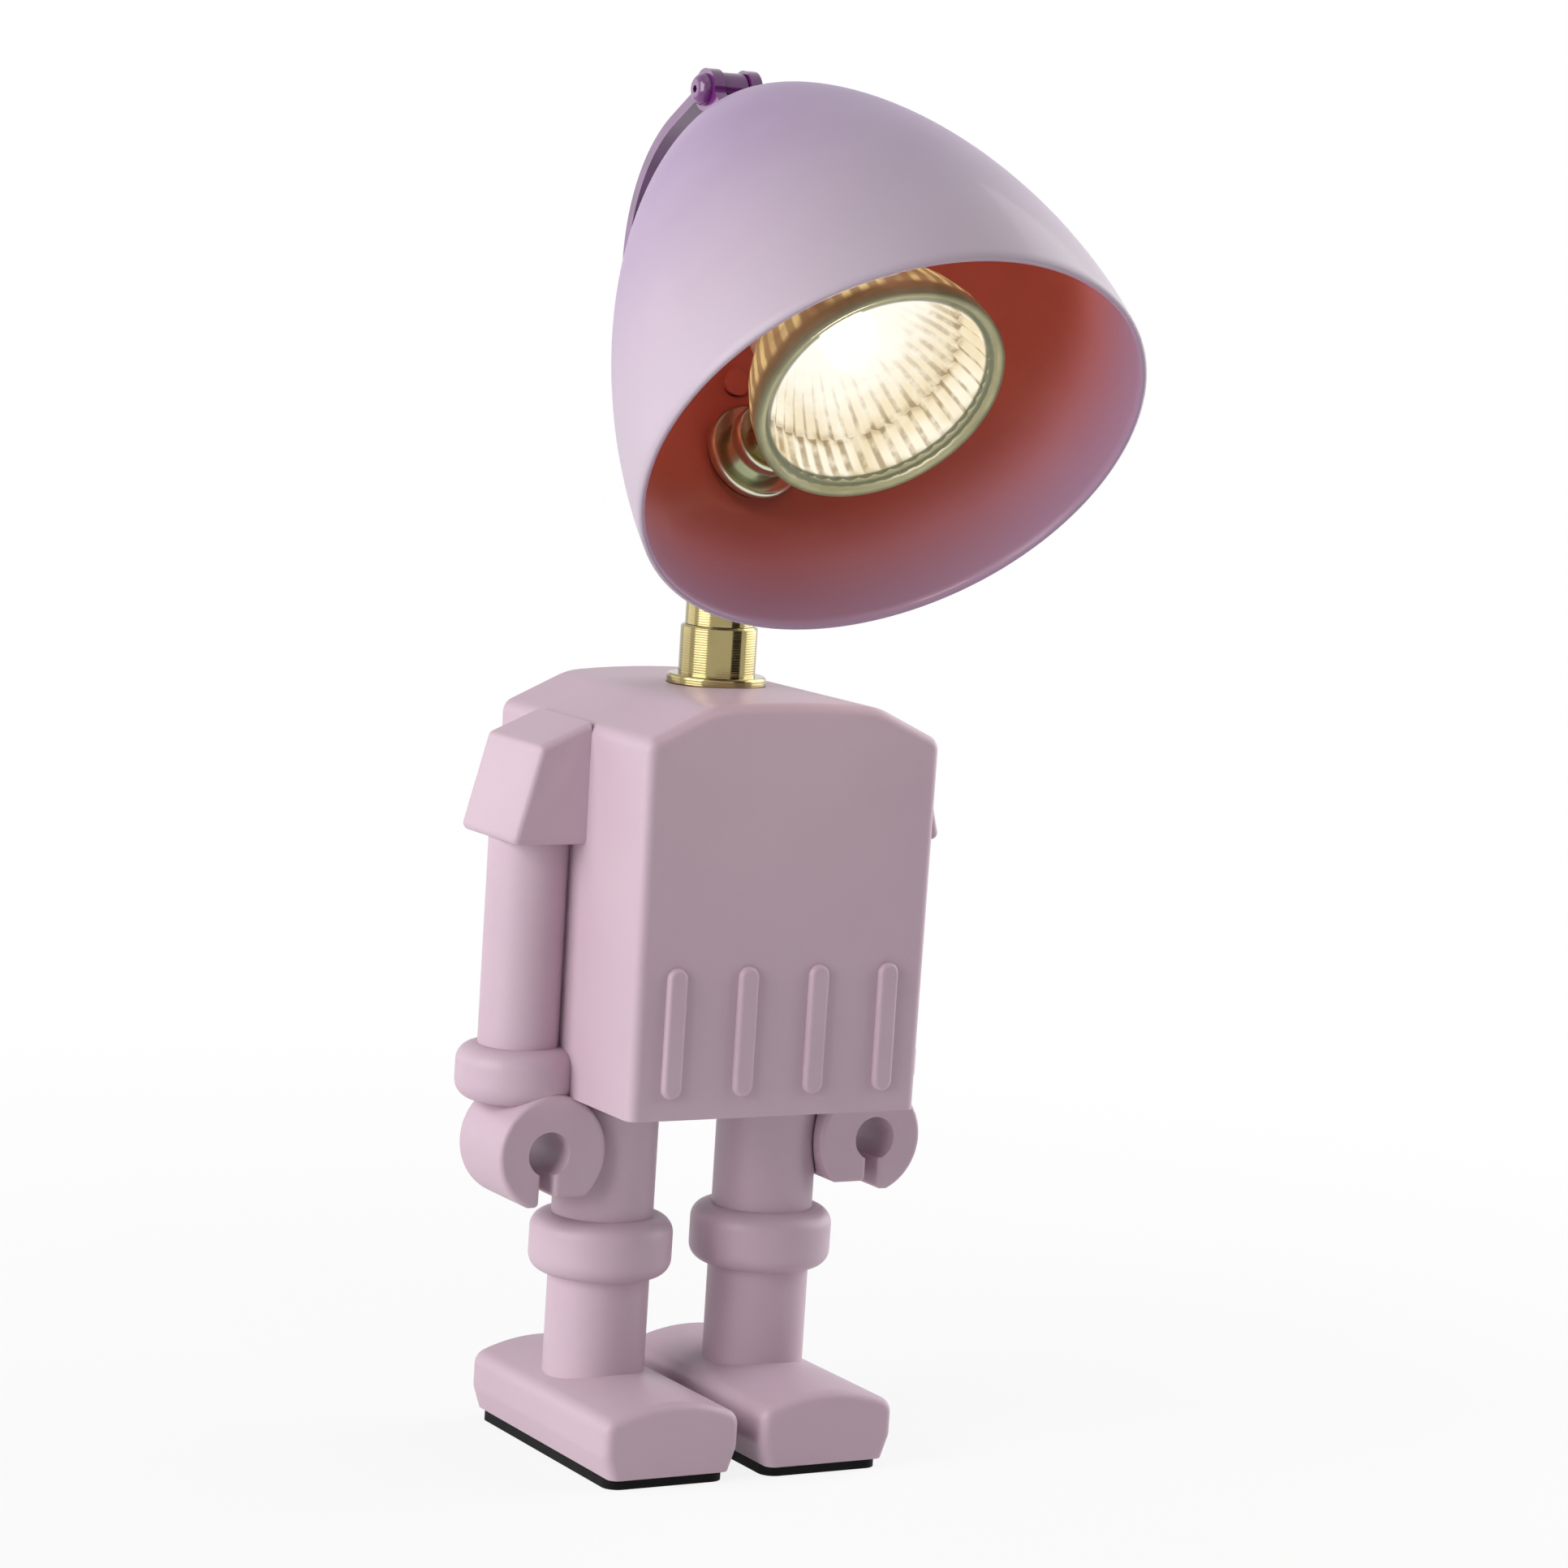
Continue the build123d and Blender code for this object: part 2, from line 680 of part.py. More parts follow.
# Leg bolts with their washers and nuts inside the torso
with BuildPart() as leg_bolts:
    for side in (-1, 1):
        with BuildSketch(Plane.XY.offset(bolt_seat)):
            with Locations((side * leg_x, leg_y)):
                Circle(bolt_radius)
        extrude(amount=bolt_top - bolt_seat)
        with BuildSketch(Plane.XY.offset(bolt_seat - bolt_head_height)):
            with Locations((side * leg_x, leg_y)):
                Circle(bolt_head_radius)
        extrude(amount=bolt_head_height)
        with BuildSketch(Plane.XY.offset(bolt_seat - bolt_head_height)):
            with Locations((side * leg_x, leg_y)):
                RegularPolygon(bolt_socket / 2, 6, major_radius=False)
        extrude(amount=bolt_head_height / 2, mode=Mode.SUBTRACT)
leg_bolts.part.label = "leg_bolts"
export_step(leg_bolts.part, "parts/leg_bolts.step")

with BuildPart() as leg_washers:
    with BuildSketch(Plane.XY.offset(plate_top)):
        with Locations((-leg_x, leg_y), (leg_x, leg_y)):
            Circle(washer_radius)
            Circle(bolt_radius + slip, mode=Mode.SUBTRACT)
    extrude(amount=washer_thick)
leg_washers.part.label = "leg_washers"
export_step(leg_washers.part, "parts/leg_washers.step")

with BuildPart() as leg_nuts:
    with BuildSketch(Plane.XY.offset(plate_top + washer_thick)):
        with Locations((-leg_x, leg_y), (leg_x, leg_y)):
            RegularPolygon(nut_flats / 2, 6, major_radius=False)
            Circle(bolt_radius + slip, mode=Mode.SUBTRACT)
    extrude(amount=nut_thick)
leg_nuts.part.label = "leg_nuts"
export_step(leg_nuts.part, "parts/leg_nuts.step")

# Neck: fixed pieces
neck_foot = Vector(0, neck_y, 0)
neck_axis = Axis(neck_foot, (0, 0, 1))
neck_section = section(neck_foot, Vector(0, 0, 1))
with BuildPart() as neck_flange:
    outline = [
        (pipe_radius + slip, flange_seat),
        (flange_radius, flange_seat),
        (flange_radius, sleeve_bottom),
        (pipe_radius + slip, sleeve_bottom),
    ]
    revolve(turned(neck_section, outline), axis=neck_axis)
    fillet(neck_flange.edges().filter_by(GeomType.CIRCLE).group_by(SortBy.RADIUS)[-1], flange_round)
neck_flange.part.label = "neck_flange"
export_step(neck_flange.part, "parts/neck_flange.step")

with BuildPart() as neck_sleeve:
    outline = [
        (pipe_radius + slip, sleeve_bottom),
        (sleeve_radius, sleeve_bottom),
        (sleeve_radius, sleeve_top),
        (pipe_radius + slip, sleeve_top),
    ]
    revolve(turned(neck_section, outline), axis=neck_axis)
    upper_rims = neck_sleeve.edges().group_by(Axis.Z)[-1]
    chamfer(upper_rims.filter_by(lambda edge: edge.radius > pipe_radius + 1), sleeve_edge)
neck_sleeve.part.label = "neck_sleeve"
export_step(neck_sleeve.part, "parts/neck_sleeve.step")

with BuildPart() as neck_nipple:
    outline = [
        (pipe_bore, pipe_bottom),
        (pipe_radius, pipe_bottom),
        (pipe_radius, clip_bottom),
        (pipe_radius - clip_groove, clip_bottom),
        (pipe_radius - clip_groove, clip_bottom + clip_thick),
        (pipe_radius, clip_bottom + clip_thick),
        (pipe_radius, pipe_top),
        (pipe_bore, pipe_top),
    ]
    revolve(turned(neck_section, outline), axis=neck_axis)
neck_nipple.part.label = "neck_nipple"
export_step(neck_nipple.part, "parts/neck_nipple.step")

with BuildPart() as swivel_clip:
    with BuildSketch(Plane.XY.offset(clip_bottom)):
        with Locations((0, neck_y)):
            Circle(clip_radius)
            Circle(pipe_radius - clip_groove, mode=Mode.SUBTRACT)
        with Locations((0, neck_y - pipe_radius)):
            Rectangle(pipe_radius, pipe_radius / 2, mode=Mode.SUBTRACT)
    extrude(amount=clip_thick)
swivel_clip.part.label = "swivel_clip"
export_step(swivel_clip.part, "parts/swivel_clip.step")

with BuildPart() as neck_washer:
    with BuildSketch(Plane.XY.offset(pipe_nut_top)):
        with Locations((0, neck_y)):
            Circle(pipe_washer_radius)
            Circle(pipe_radius + slip, mode=Mode.SUBTRACT)
    extrude(amount=pipe_washer_thick)
neck_washer.part.label = "neck_washer"
export_step(neck_washer.part, "parts/neck_washer.step")

with BuildPart() as neck_nut:
    with BuildSketch(Plane.XY.offset(pipe_nut_top - pipe_nut_thick)):
        with Locations((0, neck_y)):
            RegularPolygon(pipe_nut_flats / 2, 6, major_radius=False)
            Circle(pipe_radius + slip, mode=Mode.SUBTRACT)
    extrude(amount=pipe_nut_thick)
neck_nut.part.label = "neck_nut"
export_step(neck_nut.part, "parts/neck_nut.step")

# Neck: the tube that turns, and the fork in its top
with BuildPart() as neck_tube:
    outline = [
        (pipe_radius + running, tube_bottom),
        (tube_radius, tube_bottom),
        (tube_radius, tube_top),
        (tube_bore, tube_top),
        (tube_bore, bush_top),
        (pipe_radius + running, bush_top),
    ]
    revolve(turned(neck_section, outline), axis=neck_axis)
neck_tube.part.label = "neck_tube"
export_step(neck_tube.part, "parts/neck_tube.step")

with BuildPart() as neck_fork:
    outline = [
        (pipe_bore, tube_top - fork_plug),
        (tube_bore, tube_top - fork_plug),
        (tube_bore, tube_top),
        (tube_radius, tube_top),
        (tube_radius, tube_top + fork_collar),
        (pipe_bore, tube_top + fork_collar),
    ]
    revolve(turned(neck_section, outline), axis=neck_axis)
    with BuildSketch(Plane.YZ.offset(-ear_outer)):
        with Locations((neck_y, pivot.Z)):
            Circle(eye_radius)
        with Locations((neck_y, (pivot.Z + tube_top) / 2)):
            Rectangle(2 * eye_radius, pivot.Z - tube_top)
        with Locations((neck_y, pivot.Z)):
            Circle(pivot_radius + slip, mode=Mode.SUBTRACT)
    extrude(amount=ear_thick)
    mirror(about=Plane.YZ)
neck_fork.part.label = "neck_fork"
export_step(neck_fork.part, "parts/neck_fork.step")

with BuildPart() as friction_washers:
    for side in (-1, 1):
        with BuildSketch(Plane.YZ.offset(side * ear_gap / 2)):
            with Locations((neck_y, pivot.Z)):
                Circle(friction_radius)
                Circle(pivot_radius + slip, mode=Mode.SUBTRACT)
        extrude(amount=-side * friction_thick)
friction_washers.part.label = "friction_washers"
export_step(friction_washers.part, "parts/friction_washers.step")

with BuildPart() as pivot_screw:
    with BuildSketch(Plane.YZ.offset(-ear_outer - pivot_head_height)):
        with Locations((neck_y, pivot.Z)):
            Circle(pivot_head_radius)
    extrude(amount=pivot_head_height)
    fillet(pivot_screw.edges().group_by(Axis.X)[0], pivot_head_height / 2)
    with BuildSketch(Plane.YZ.offset(-ear_outer)):
        with Locations((neck_y, pivot.Z)):
            Circle(pivot_radius)
    extrude(amount=2 * ear_outer + pivot_nut_height / 2)
    with BuildSketch(Plane.YZ.offset(-ear_outer - pivot_head_height)):
        with Locations((neck_y, pivot.Z)):
            Rectangle(2 * pivot_head_radius, pivot_head_height / 3)
    extrude(amount=pivot_head_height / 2, mode=Mode.SUBTRACT)
pivot_screw.part.label = "pivot_screw"
export_step(pivot_screw.part, "parts/pivot_screw.step")

with BuildPart() as pivot_nut:
    with BuildSketch(Plane.YZ.offset(ear_outer)):
        with Locations((neck_y, pivot.Z)):
            Circle(pivot_nut_radius)
    extrude(amount=pivot_nut_height)
    fillet(pivot_nut.edges().group_by(Axis.X)[-1], pivot_nut_height / 2)
    with BuildSketch(Plane.YZ.offset(ear_outer)):
        with Locations((neck_y, pivot.Z)):
            Circle(pivot_radius + slip)
    extrude(amount=pivot_nut_height / 2 + slip, mode=Mode.SUBTRACT)
pivot_nut.part.label = "pivot_nut"
export_step(pivot_nut.part, "parts/pivot_nut.step")

# Shade
with BuildPart() as shade:
    revolve(egg_face(0), axis=shade_axis)
    revolve(egg_face(shade_wall), axis=shade_axis, mode=Mode.SUBTRACT)
    with BuildSketch(across(stem_root, stem_in)):
        Circle(stem_radius + slip)
    extrude(amount=2 * stem_washer_depth, both=True, mode=Mode.SUBTRACT)
    with BuildSketch(across(mouth + shade_dir * (shade_depth - 2 * shade_wall), shade_dir)):
        Circle(stud_radius + slip)
    extrude(amount=4 * shade_wall, mode=Mode.SUBTRACT)
    with BuildSketch(across(wall_point(rivet_station), wall_normal(rivet_station))):
        Circle(rivet_radius + slip)
    extrude(amount=2 * shade_wall, both=True, mode=Mode.SUBTRACT)
shade.part.label = "shade"
export_step(shade.part, "parts/shade.step")

# Stem of the shade: an eye in the fork, a shoulder on the wall and a hollow thread through it
shoulder_near = eye_radius + shoulder_gap - stem_reach
stem_tip = stem_washer_depth + stem_nut_flange + stem_nut_waist_length + stem_nut_collar_length + stem_end
with BuildPart() as shade_stem:
    with BuildSketch(section(pivot, stem_in)) as tongue:
        Circle(eye_radius)
        with Locations((0, stem_reach / 2)):
            Rectangle(tongue_width, stem_reach)
        Circle(pivot_radius + slip, mode=Mode.SUBTRACT)
    extrude(amount=tongue_thick / 2, both=True)
    outline = [(0, shoulder_near), (stem_shoulder, shoulder_near), (stem_shoulder, 0), (stem_radius, 0)]
    outline += [(stem_radius, stem_tip), (0, stem_tip)]
    revolve(turned(section(stem_root, stem_in), outline), axis=stem_axis)
    with BuildSketch(across(stem_root, stem_in)):
        Circle(stem_bore)
    extrude(amount=stem_tip, mode=Mode.SUBTRACT)
shade_stem.part.label = "shade_stem"
export_step(shade_stem.part, "parts/shade_stem.step")

with BuildPart() as stem_washer:
    with BuildSketch(across(stem_root, stem_in)):
        Circle(stem_washer_radius)
        Circle(stem_radius + slip, mode=Mode.SUBTRACT)
    extrude(amount=stem_washer_depth)
    revolve(egg_face(shade_wall), axis=shade_axis, mode=Mode.INTERSECT)
stem_washer.part.label = "stem_washer"
export_step(stem_washer.part, "parts/stem_washer.step")

with BuildPart() as stem_nut:
    flange_end = stem_washer_depth + stem_nut_flange
    waist_end = flange_end + stem_nut_waist_length
    collar_end = waist_end + stem_nut_collar_length
    outline = [
        (stem_radius + slip, stem_washer_depth),
        (stem_nut_radius, stem_washer_depth),
        (stem_nut_radius, flange_end),
        (stem_nut_waist, flange_end),
        (stem_nut_waist, waist_end),
        (stem_nut_collar, waist_end),
        (stem_nut_collar, collar_end),
        (stem_radius + slip, collar_end),
    ]
    revolve(turned(section(stem_root, stem_in), outline), axis=stem_axis)
    rounds = stem_nut.edges().filter_by(GeomType.CIRCLE).filter_by(
        lambda edge: edge.radius > stem_nut_waist + slip
    )
    fillet(rounds, 0.4 * stem_nut_flange)
stem_nut.part.label = "stem_nut"
export_step(stem_nut.part, "parts/stem_nut.step")

# Lug on the shade's tip: a barrel across the figure, slotted for the strap's eye
with BuildPart() as handle_saddle:
    with BuildSketch(section(lug_middle, shade_dir)):
        Circle(lug_radius)
        with Locations((0, (shade_depth - lug_station) / 2 - lug_radius / 2)):
            Rectangle(lug_foot, lug_station - shade_depth + lug_radius)
    extrude(amount=lug_length / 2, both=True)
    with BuildSketch(section(lug_middle, shade_dir)):
        with Locations((0, lug_radius)):
            Rectangle(4 * lug_radius, 2 * (lug_radius + strap_eye + casting_gap))
    extrude(amount=lug_slot / 2, both=True, mode=Mode.SUBTRACT)
    revolve(egg_face(0), axis=shade_axis, mode=Mode.SUBTRACT)
    with BuildSketch(section(lug_middle, shade_dir)):
        Circle(handle_screw_radius + slip)
    extrude(amount=lug_length, both=True, mode=Mode.SUBTRACT)
    with BuildSketch(across(mouth + shade_dir * (shade_depth - 2 * shade_wall), shade_dir)):
        Circle(stud_radius + slip)
    extrude(amount=stud_length / 2, mode=Mode.SUBTRACT)
handle_saddle.part.label = "handle_saddle"
export_step(handle_saddle.part, "parts/handle_saddle.step")

with BuildPart() as handle_screw:
    head_start = -lug_length / 2 - handle_screw_head_height
    with BuildSketch(Plane.YZ.offset(head_start)):
        with Locations((lug_middle.Y, lug_middle.Z)):
            Circle(handle_screw_head)
    extrude(amount=handle_screw_head_height)
    fillet(handle_screw.edges().group_by(Axis.X)[0], 0.9 * handle_screw_head_height)
    with BuildSketch(Plane.YZ.offset(-lug_length / 2)):
        with Locations((lug_middle.Y, lug_middle.Z)):
            Circle(handle_screw_radius)
    extrude(amount=lug_length)
    with BuildSketch(Plane.YZ.offset(head_start)):
        with Locations((lug_middle.Y, lug_middle.Z)):
            RegularPolygon(handle_screw_radius / 2, 6)
    extrude(amount=handle_screw_head_height, mode=Mode.SUBTRACT)
handle_screw.part.label = "handle_screw"
export_step(handle_screw.part, "parts/handle_screw.step")

# Strap: an eye in the lug, a long loop behind the shade and a foot riveted to its back
eye_top = lug_middle + Vector(0, 0, strap_eye - strap_thick / 2)
fall = (strap_back - eye_top.Y) * sin(radians(strap_fall)) / cos(radians(strap_fall))
foot_out = strap_thick / 2 + strap_foot_lift
foot_start = wall_point(strap_foot_station) + wall_normal(strap_foot_station) * foot_out
foot_station_end = strap_foot_station + strap_foot_length
foot_end = wall_point(foot_station_end) + wall_normal(foot_station_end) * foot_out
upright_run = eye_top.Z - fall - foot_start.Z
strap_bend = strap_bend_share * upright_run
strap_low_bend = strap_low_bend_share * upright_run
with BuildPart() as handle_strap:
    with BuildSketch(Plane.YZ) as side_view:
        with BuildLine():
            FilletPolyline(
                (eye_top.Y, eye_top.Z),
                (strap_back, eye_top.Z - fall),
                (strap_back, foot_start.Z),
                (foot_start.Y, foot_start.Z),
                (foot_end.Y, foot_end.Z),
                radius=[strap_bend, strap_low_bend, strap_foot_bend],
            )
        trace(line_width=strap_thick)
        with Locations((lug_middle.Y, lug_middle.Z)):
            Circle(strap_eye)
            Circle(handle_screw_radius + slip, mode=Mode.SUBTRACT)
    extrude(amount=strap_width / 2, both=True)
    for side in (-1, 1):
        with BuildSketch(Plane.YZ.offset(side * strap_eye_width / 2)):
            with Locations((lug_middle.Y, lug_middle.Z)):
                Circle(lug_radius + 2 * casting_gap)
        extrude(amount=side * strap_width, mode=Mode.SUBTRACT)
    with BuildSketch(across(wall_point(rivet_station), wall_normal(rivet_station))):
        Circle(rivet_radius + slip)
    extrude(amount=2 * strap_thick, both=True, mode=Mode.SUBTRACT)
handle_strap.part.label = "handle_strap"
export_step(handle_strap.part, "parts/handle_strap.step")

rivet_root = wall_point(rivet_station)
rivet_out = wall_normal(rivet_station)
with BuildPart() as handle_rivet:
    head_seat = strap_foot_lift + strap_thick
    tail_seat = -shade_wall - strap_foot_lift
    outline = [
        (0, tail_seat - rivet_head_height),
        (rivet_head, tail_seat - rivet_head_height),
        (rivet_head, tail_seat),
        (rivet_radius, tail_seat),
        (rivet_radius, head_seat),
        (rivet_head, head_seat),
        (rivet_head, head_seat + rivet_head_height),
        (0, head_seat + rivet_head_height),
    ]
    revolve(turned(section(rivet_root, rivet_out), outline), axis=Axis(rivet_root, rivet_out))
    rim = handle_rivet.edges().filter_by(GeomType.CIRCLE).group_by(SortBy.RADIUS)[-1].sort_by(Axis.Y)[-1]
    fillet(rim, rivet_head_height / 2)
handle_rivet.part.label = "handle_rivet"
export_step(handle_rivet.part, "parts/handle_rivet.step")

# Pillar that hangs the lampholder from the shade's tip, and its stud
tip_drop = shade_depth - shade_wall - pillar_radius * 0.5
with BuildPart() as holder_pillar:
    with BuildSketch(across(mouth + shade_dir * tip_drop, shade_dir)):
        Circle(pillar_radius)
    extrude(amount=-(tip_drop - bulb_station - holder_back - pillar_foot_thick / 2))
    with BuildSketch(across(bulb_face + bulb_dir * holder_back, bulb_dir)):
        Circle(pillar_foot)
        with GridLocations(holder_screw_spread, 1, 2, 1):
            Circle(holder_screw_radius + slip, mode=Mode.SUBTRACT)
    extrude(amount=pillar_foot_thick)
    revolve(egg_face(shade_wall), axis=shade_axis, mode=Mode.INTERSECT)
    with BuildSketch(across(mouth + shade_dir * (tip_drop + 1), shade_dir)):
        Circle(stud_radius)
    extrude(amount=-stud_length / 2 - 1, mode=Mode.SUBTRACT)
holder_pillar.part.label = "holder_pillar"
export_step(holder_pillar.part, "parts/holder_pillar.step")

with BuildPart() as saddle_stud:
    with BuildSketch(across(mouth + shade_dir * (tip_drop - stud_length / 2), shade_dir)):
        Circle(stud_radius)
    extrude(amount=stud_length)
saddle_stud.part.label = "saddle_stud"
export_step(saddle_stud.part, "parts/saddle_stud.step")

# Lampholder with two keyhole sockets
with BuildPart() as lampholder:
    with BuildSketch(across(bulb_face + bulb_dir * holder_front, bulb_dir)):
        Circle(holder_radius)
    extrude(amount=holder_length)
    chamfer(lampholder.edges().filter_by(GeomType.CIRCLE), holder_edge)
    with BuildSketch(across(bulb_face + bulb_dir * holder_front, bulb_dir)):
        Circle(base_radius + slip)
    extrude(amount=holder_overlap, mode=Mode.SUBTRACT)
    with BuildSketch(across(bulb_face + bulb_dir * base_end, bulb_dir)):
        with GridLocations(pin_spread, 1, 2, 1):
            Circle(pin_foot_radius + slip)
    extrude(amount=pin_length + pin_foot_length + slip, mode=Mode.SUBTRACT)
    with BuildSketch(across(bulb_face + bulb_dir * holder_back, bulb_dir)):
        with GridLocations(holder_screw_spread, 1, 2, 1):
            Circle(holder_screw_radius + slip)
    extrude(amount=pillar_foot_thick - holder_screw_length - slip, mode=Mode.SUBTRACT)
    with BuildSketch(across(lead_mouth, bulb_out)):
        Circle(lead_radius + slip)
    extrude(amount=-lead_depth - slip, mode=Mode.SUBTRACT)
lampholder.part.label = "lampholder"
export_step(lampholder.part, "parts/lampholder.step")

with BuildPart() as holder_screws:
    foot_back_face = bulb_face + bulb_dir * (holder_back + pillar_foot_thick)
    with BuildSketch(across(foot_back_face, bulb_dir)):
        with GridLocations(holder_screw_spread, 1, 2, 1):
            Circle(holder_screw_radius)
    extrude(amount=-holder_screw_length)
    with BuildSketch(across(foot_back_face, bulb_dir)):
        with GridLocations(holder_screw_spread, 1, 2, 1):
            Circle(holder_screw_head)
    extrude(amount=holder_screw_head_height)
holder_screws.part.label = "holder_screws"
export_step(holder_screws.part, "parts/holder_screws.step")

# Lead from the stem's hollow end to the side of the lampholder
stem_mouth = stem_root + stem_in * stem_tip
lead_from = stem_mouth - stem_in * stem_end
with BuildPart() as holder_lead:
    with BuildLine():
        FilletPolyline(
            lead_from,
            stem_mouth + stem_in * 3 * lead_radius,
            lead_mouth + bulb_out * 5 * lead_radius,
            lead_mouth - bulb_out * lead_depth,
            radius=[2.4 * lead_radius, 3 * lead_radius],
        )
    with BuildSketch(across(lead_from, stem_in)):
        Circle(lead_radius)
    sweep()
holder_lead.part.label = "holder_lead"
export_step(holder_lead.part, "parts/holder_lead.step")

# Bulb
with BuildPart() as bulb_reflector:
    with BuildSketch(bulb_section) as bowl:
        with BuildLine():
            Line((bulb_radius, 0), (bulb_radius, bulb_lip))
            Spline(
                (bulb_radius, bulb_lip),
                (0.82 * bulb_radius, 0.45 * bowl_depth),
                (bowl_neck, bowl_depth),
                tangents=((-0.3, 1), (-0.5, 1)),
            )
            Line((bowl_neck, bowl_depth), (bowl_neck - bulb_wall, bowl_depth))
            Spline(
                (bowl_neck - bulb_wall, bowl_depth),
                (0.82 * bulb_radius - 1.2 * bulb_wall, 0.45 * bowl_depth - bulb_wall / 2),
                (bulb_radius - bulb_wall, bulb_lip),
                tangents=((0.5, -1), (0.3, -1)),
            )
            Line((bulb_radius - bulb_wall, bulb_lip), (bulb_radius - bulb_wall, 0))
            Line((bulb_radius - bulb_wall, 0), (bulb_radius, 0))
        make_face()
    revolve(axis=bulb_axis)
bulb_reflector.part.label = "bulb_reflector"
export_step(bulb_reflector.part, "parts/bulb_reflector.step")

with BuildPart() as bulb_front_glass:
    with BuildSketch(across(bulb_face + bulb_dir * glass_set_back, bulb_dir)):
        Circle(bulb_radius - bulb_wall - slip)
    extrude(amount=glass_thick)
bulb_front_glass.part.label = "bulb_front_glass"
export_step(bulb_front_glass.part, "parts/bulb_front_glass.step")

with BuildPart() as bulb_base:
    with BuildSketch(across(bulb_face + bulb_dir * bowl_depth, bulb_dir)):
        Circle(base_radius)
    extrude(amount=base_length)
    chamfer(bulb_base.edges().sort_by(Axis.Y)[-1], bulb_wall / 2)
bulb_base.part.label = "bulb_base"
export_step(bulb_base.part, "parts/bulb_base.step")

with BuildPart() as bulb_capsule:
    capsule_end = bowl_depth - capsule_start
    with BuildSketch(section(bulb_face + bulb_dir * capsule_start, bulb_dir)):
        with BuildLine():
            Line((0, 0), (0, capsule_end))
            Line((0, capsule_end), (capsule_radius, capsule_end))
            Line((capsule_radius, capsule_end), (capsule_radius, capsule_radius))
            RadiusArc((capsule_radius, capsule_radius), (0, 0), capsule_radius)
        make_face()
    revolve(axis=bulb_axis)
bulb_capsule.part.label = "bulb_capsule"
export_step(bulb_capsule.part, "parts/bulb_capsule.step")

with BuildPart() as bulb_pins:
    with BuildSketch(across(bulb_face + bulb_dir * base_end, bulb_dir)):
        with GridLocations(pin_spread, 1, 2, 1):
            Circle(pin_radius)
    extrude(amount=pin_length)
    with BuildSketch(across(bulb_face + bulb_dir * (base_end + pin_length), bulb_dir)):
        with GridLocations(pin_spread, 1, 2, 1):
            Circle(pin_foot_radius)
    extrude(amount=pin_foot_length)
bulb_pins.part.label = "bulb_pins"
export_step(bulb_pins.part, "parts/bulb_pins.step")
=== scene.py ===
# %% [markdown]
# # A table lamp in the shape of a toy robot
# The lamp is a painted casting with a brass neck and an egg-shaped metal shade. The CAD model already
# holds every solid at its true place and size, so this lesson adds what a solid can't show: the paint,
# the polish, the spun shade with its two colours and the bulb's fluted mirror. Everything is in metres,
# in the CAD model's own frame: the figure stands on z = 0 and faces -Y.

import json
import math

import bmesh
import bpy
from mathutils import Matrix, Vector

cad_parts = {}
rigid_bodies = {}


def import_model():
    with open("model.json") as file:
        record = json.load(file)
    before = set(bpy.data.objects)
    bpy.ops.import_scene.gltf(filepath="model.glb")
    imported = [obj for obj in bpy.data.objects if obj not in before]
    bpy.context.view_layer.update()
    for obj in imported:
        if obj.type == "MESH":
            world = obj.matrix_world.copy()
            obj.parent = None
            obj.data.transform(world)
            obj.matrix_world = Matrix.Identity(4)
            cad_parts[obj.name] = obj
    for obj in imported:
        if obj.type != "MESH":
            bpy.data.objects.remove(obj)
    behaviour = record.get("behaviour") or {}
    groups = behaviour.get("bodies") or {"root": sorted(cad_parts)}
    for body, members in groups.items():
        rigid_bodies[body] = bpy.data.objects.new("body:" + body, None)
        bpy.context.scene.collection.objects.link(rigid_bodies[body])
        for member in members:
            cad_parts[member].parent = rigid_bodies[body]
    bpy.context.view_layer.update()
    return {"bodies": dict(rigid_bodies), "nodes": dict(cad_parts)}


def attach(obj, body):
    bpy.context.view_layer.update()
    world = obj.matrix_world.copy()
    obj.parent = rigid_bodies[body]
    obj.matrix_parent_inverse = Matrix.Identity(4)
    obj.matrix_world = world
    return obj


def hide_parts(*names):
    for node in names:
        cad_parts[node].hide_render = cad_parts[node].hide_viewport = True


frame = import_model()
nodes = frame["nodes"]
scene = bpy.context.scene

# %% [markdown]
# ## The camera
# A product picture is taken with a long lens, so upright edges stay nearly parallel. The place, turn and
# lens below were found by matching the corners of the body to the picture. The small roll is the tilt of
# the picture itself. A camera looks along its own -Z, so its matrix is made of a right, an up and a
# backward direction. A Track To constraint would aim the camera too, but it leaves no room for the roll.

# %% Camera at the picture's angle
camera_place = Vector((-0.46183, -0.83017, 0.25291))
camera_turn = math.radians(-29.915)
camera_rise = math.radians(7.108)
camera_roll = math.radians(3.615)
camera_lens = 110.95  # in millimetres, as the sensor's width is
sensor_width = 36.0

backward = Vector((math.sin(camera_turn), -math.cos(camera_turn), 0)) * math.cos(camera_rise)
backward.z = math.sin(camera_rise)
level_right = Vector((0, 0, 1)).cross(backward).normalized()
level_up = backward.cross(level_right)
right = level_right * math.cos(camera_roll) + level_up * math.sin(camera_roll)
up = level_up * math.cos(camera_roll) - level_right * math.sin(camera_roll)

camera_data = bpy.data.cameras.new("picture_camera")
camera_data.lens = camera_lens
camera_data.sensor_width = sensor_width
camera = bpy.data.objects.new("picture_camera", camera_data)
camera.matrix_world = Matrix.Translation(camera_place) @ Matrix((right, up, backward)).transposed().to_4x4()
scene.collection.objects.link(camera)
scene.camera = camera
print("camera looks along", -backward)

# %% [markdown]
# ## Writing shader maths in Python
# A material is a graph of nodes. Joining Math nodes by hand hides the idea behind the wiring, so one small
# class wraps a socket and lets Python's own operators add the nodes. Both sides of each operator are given,
# so that 1 - mask works as well as mask - 1.

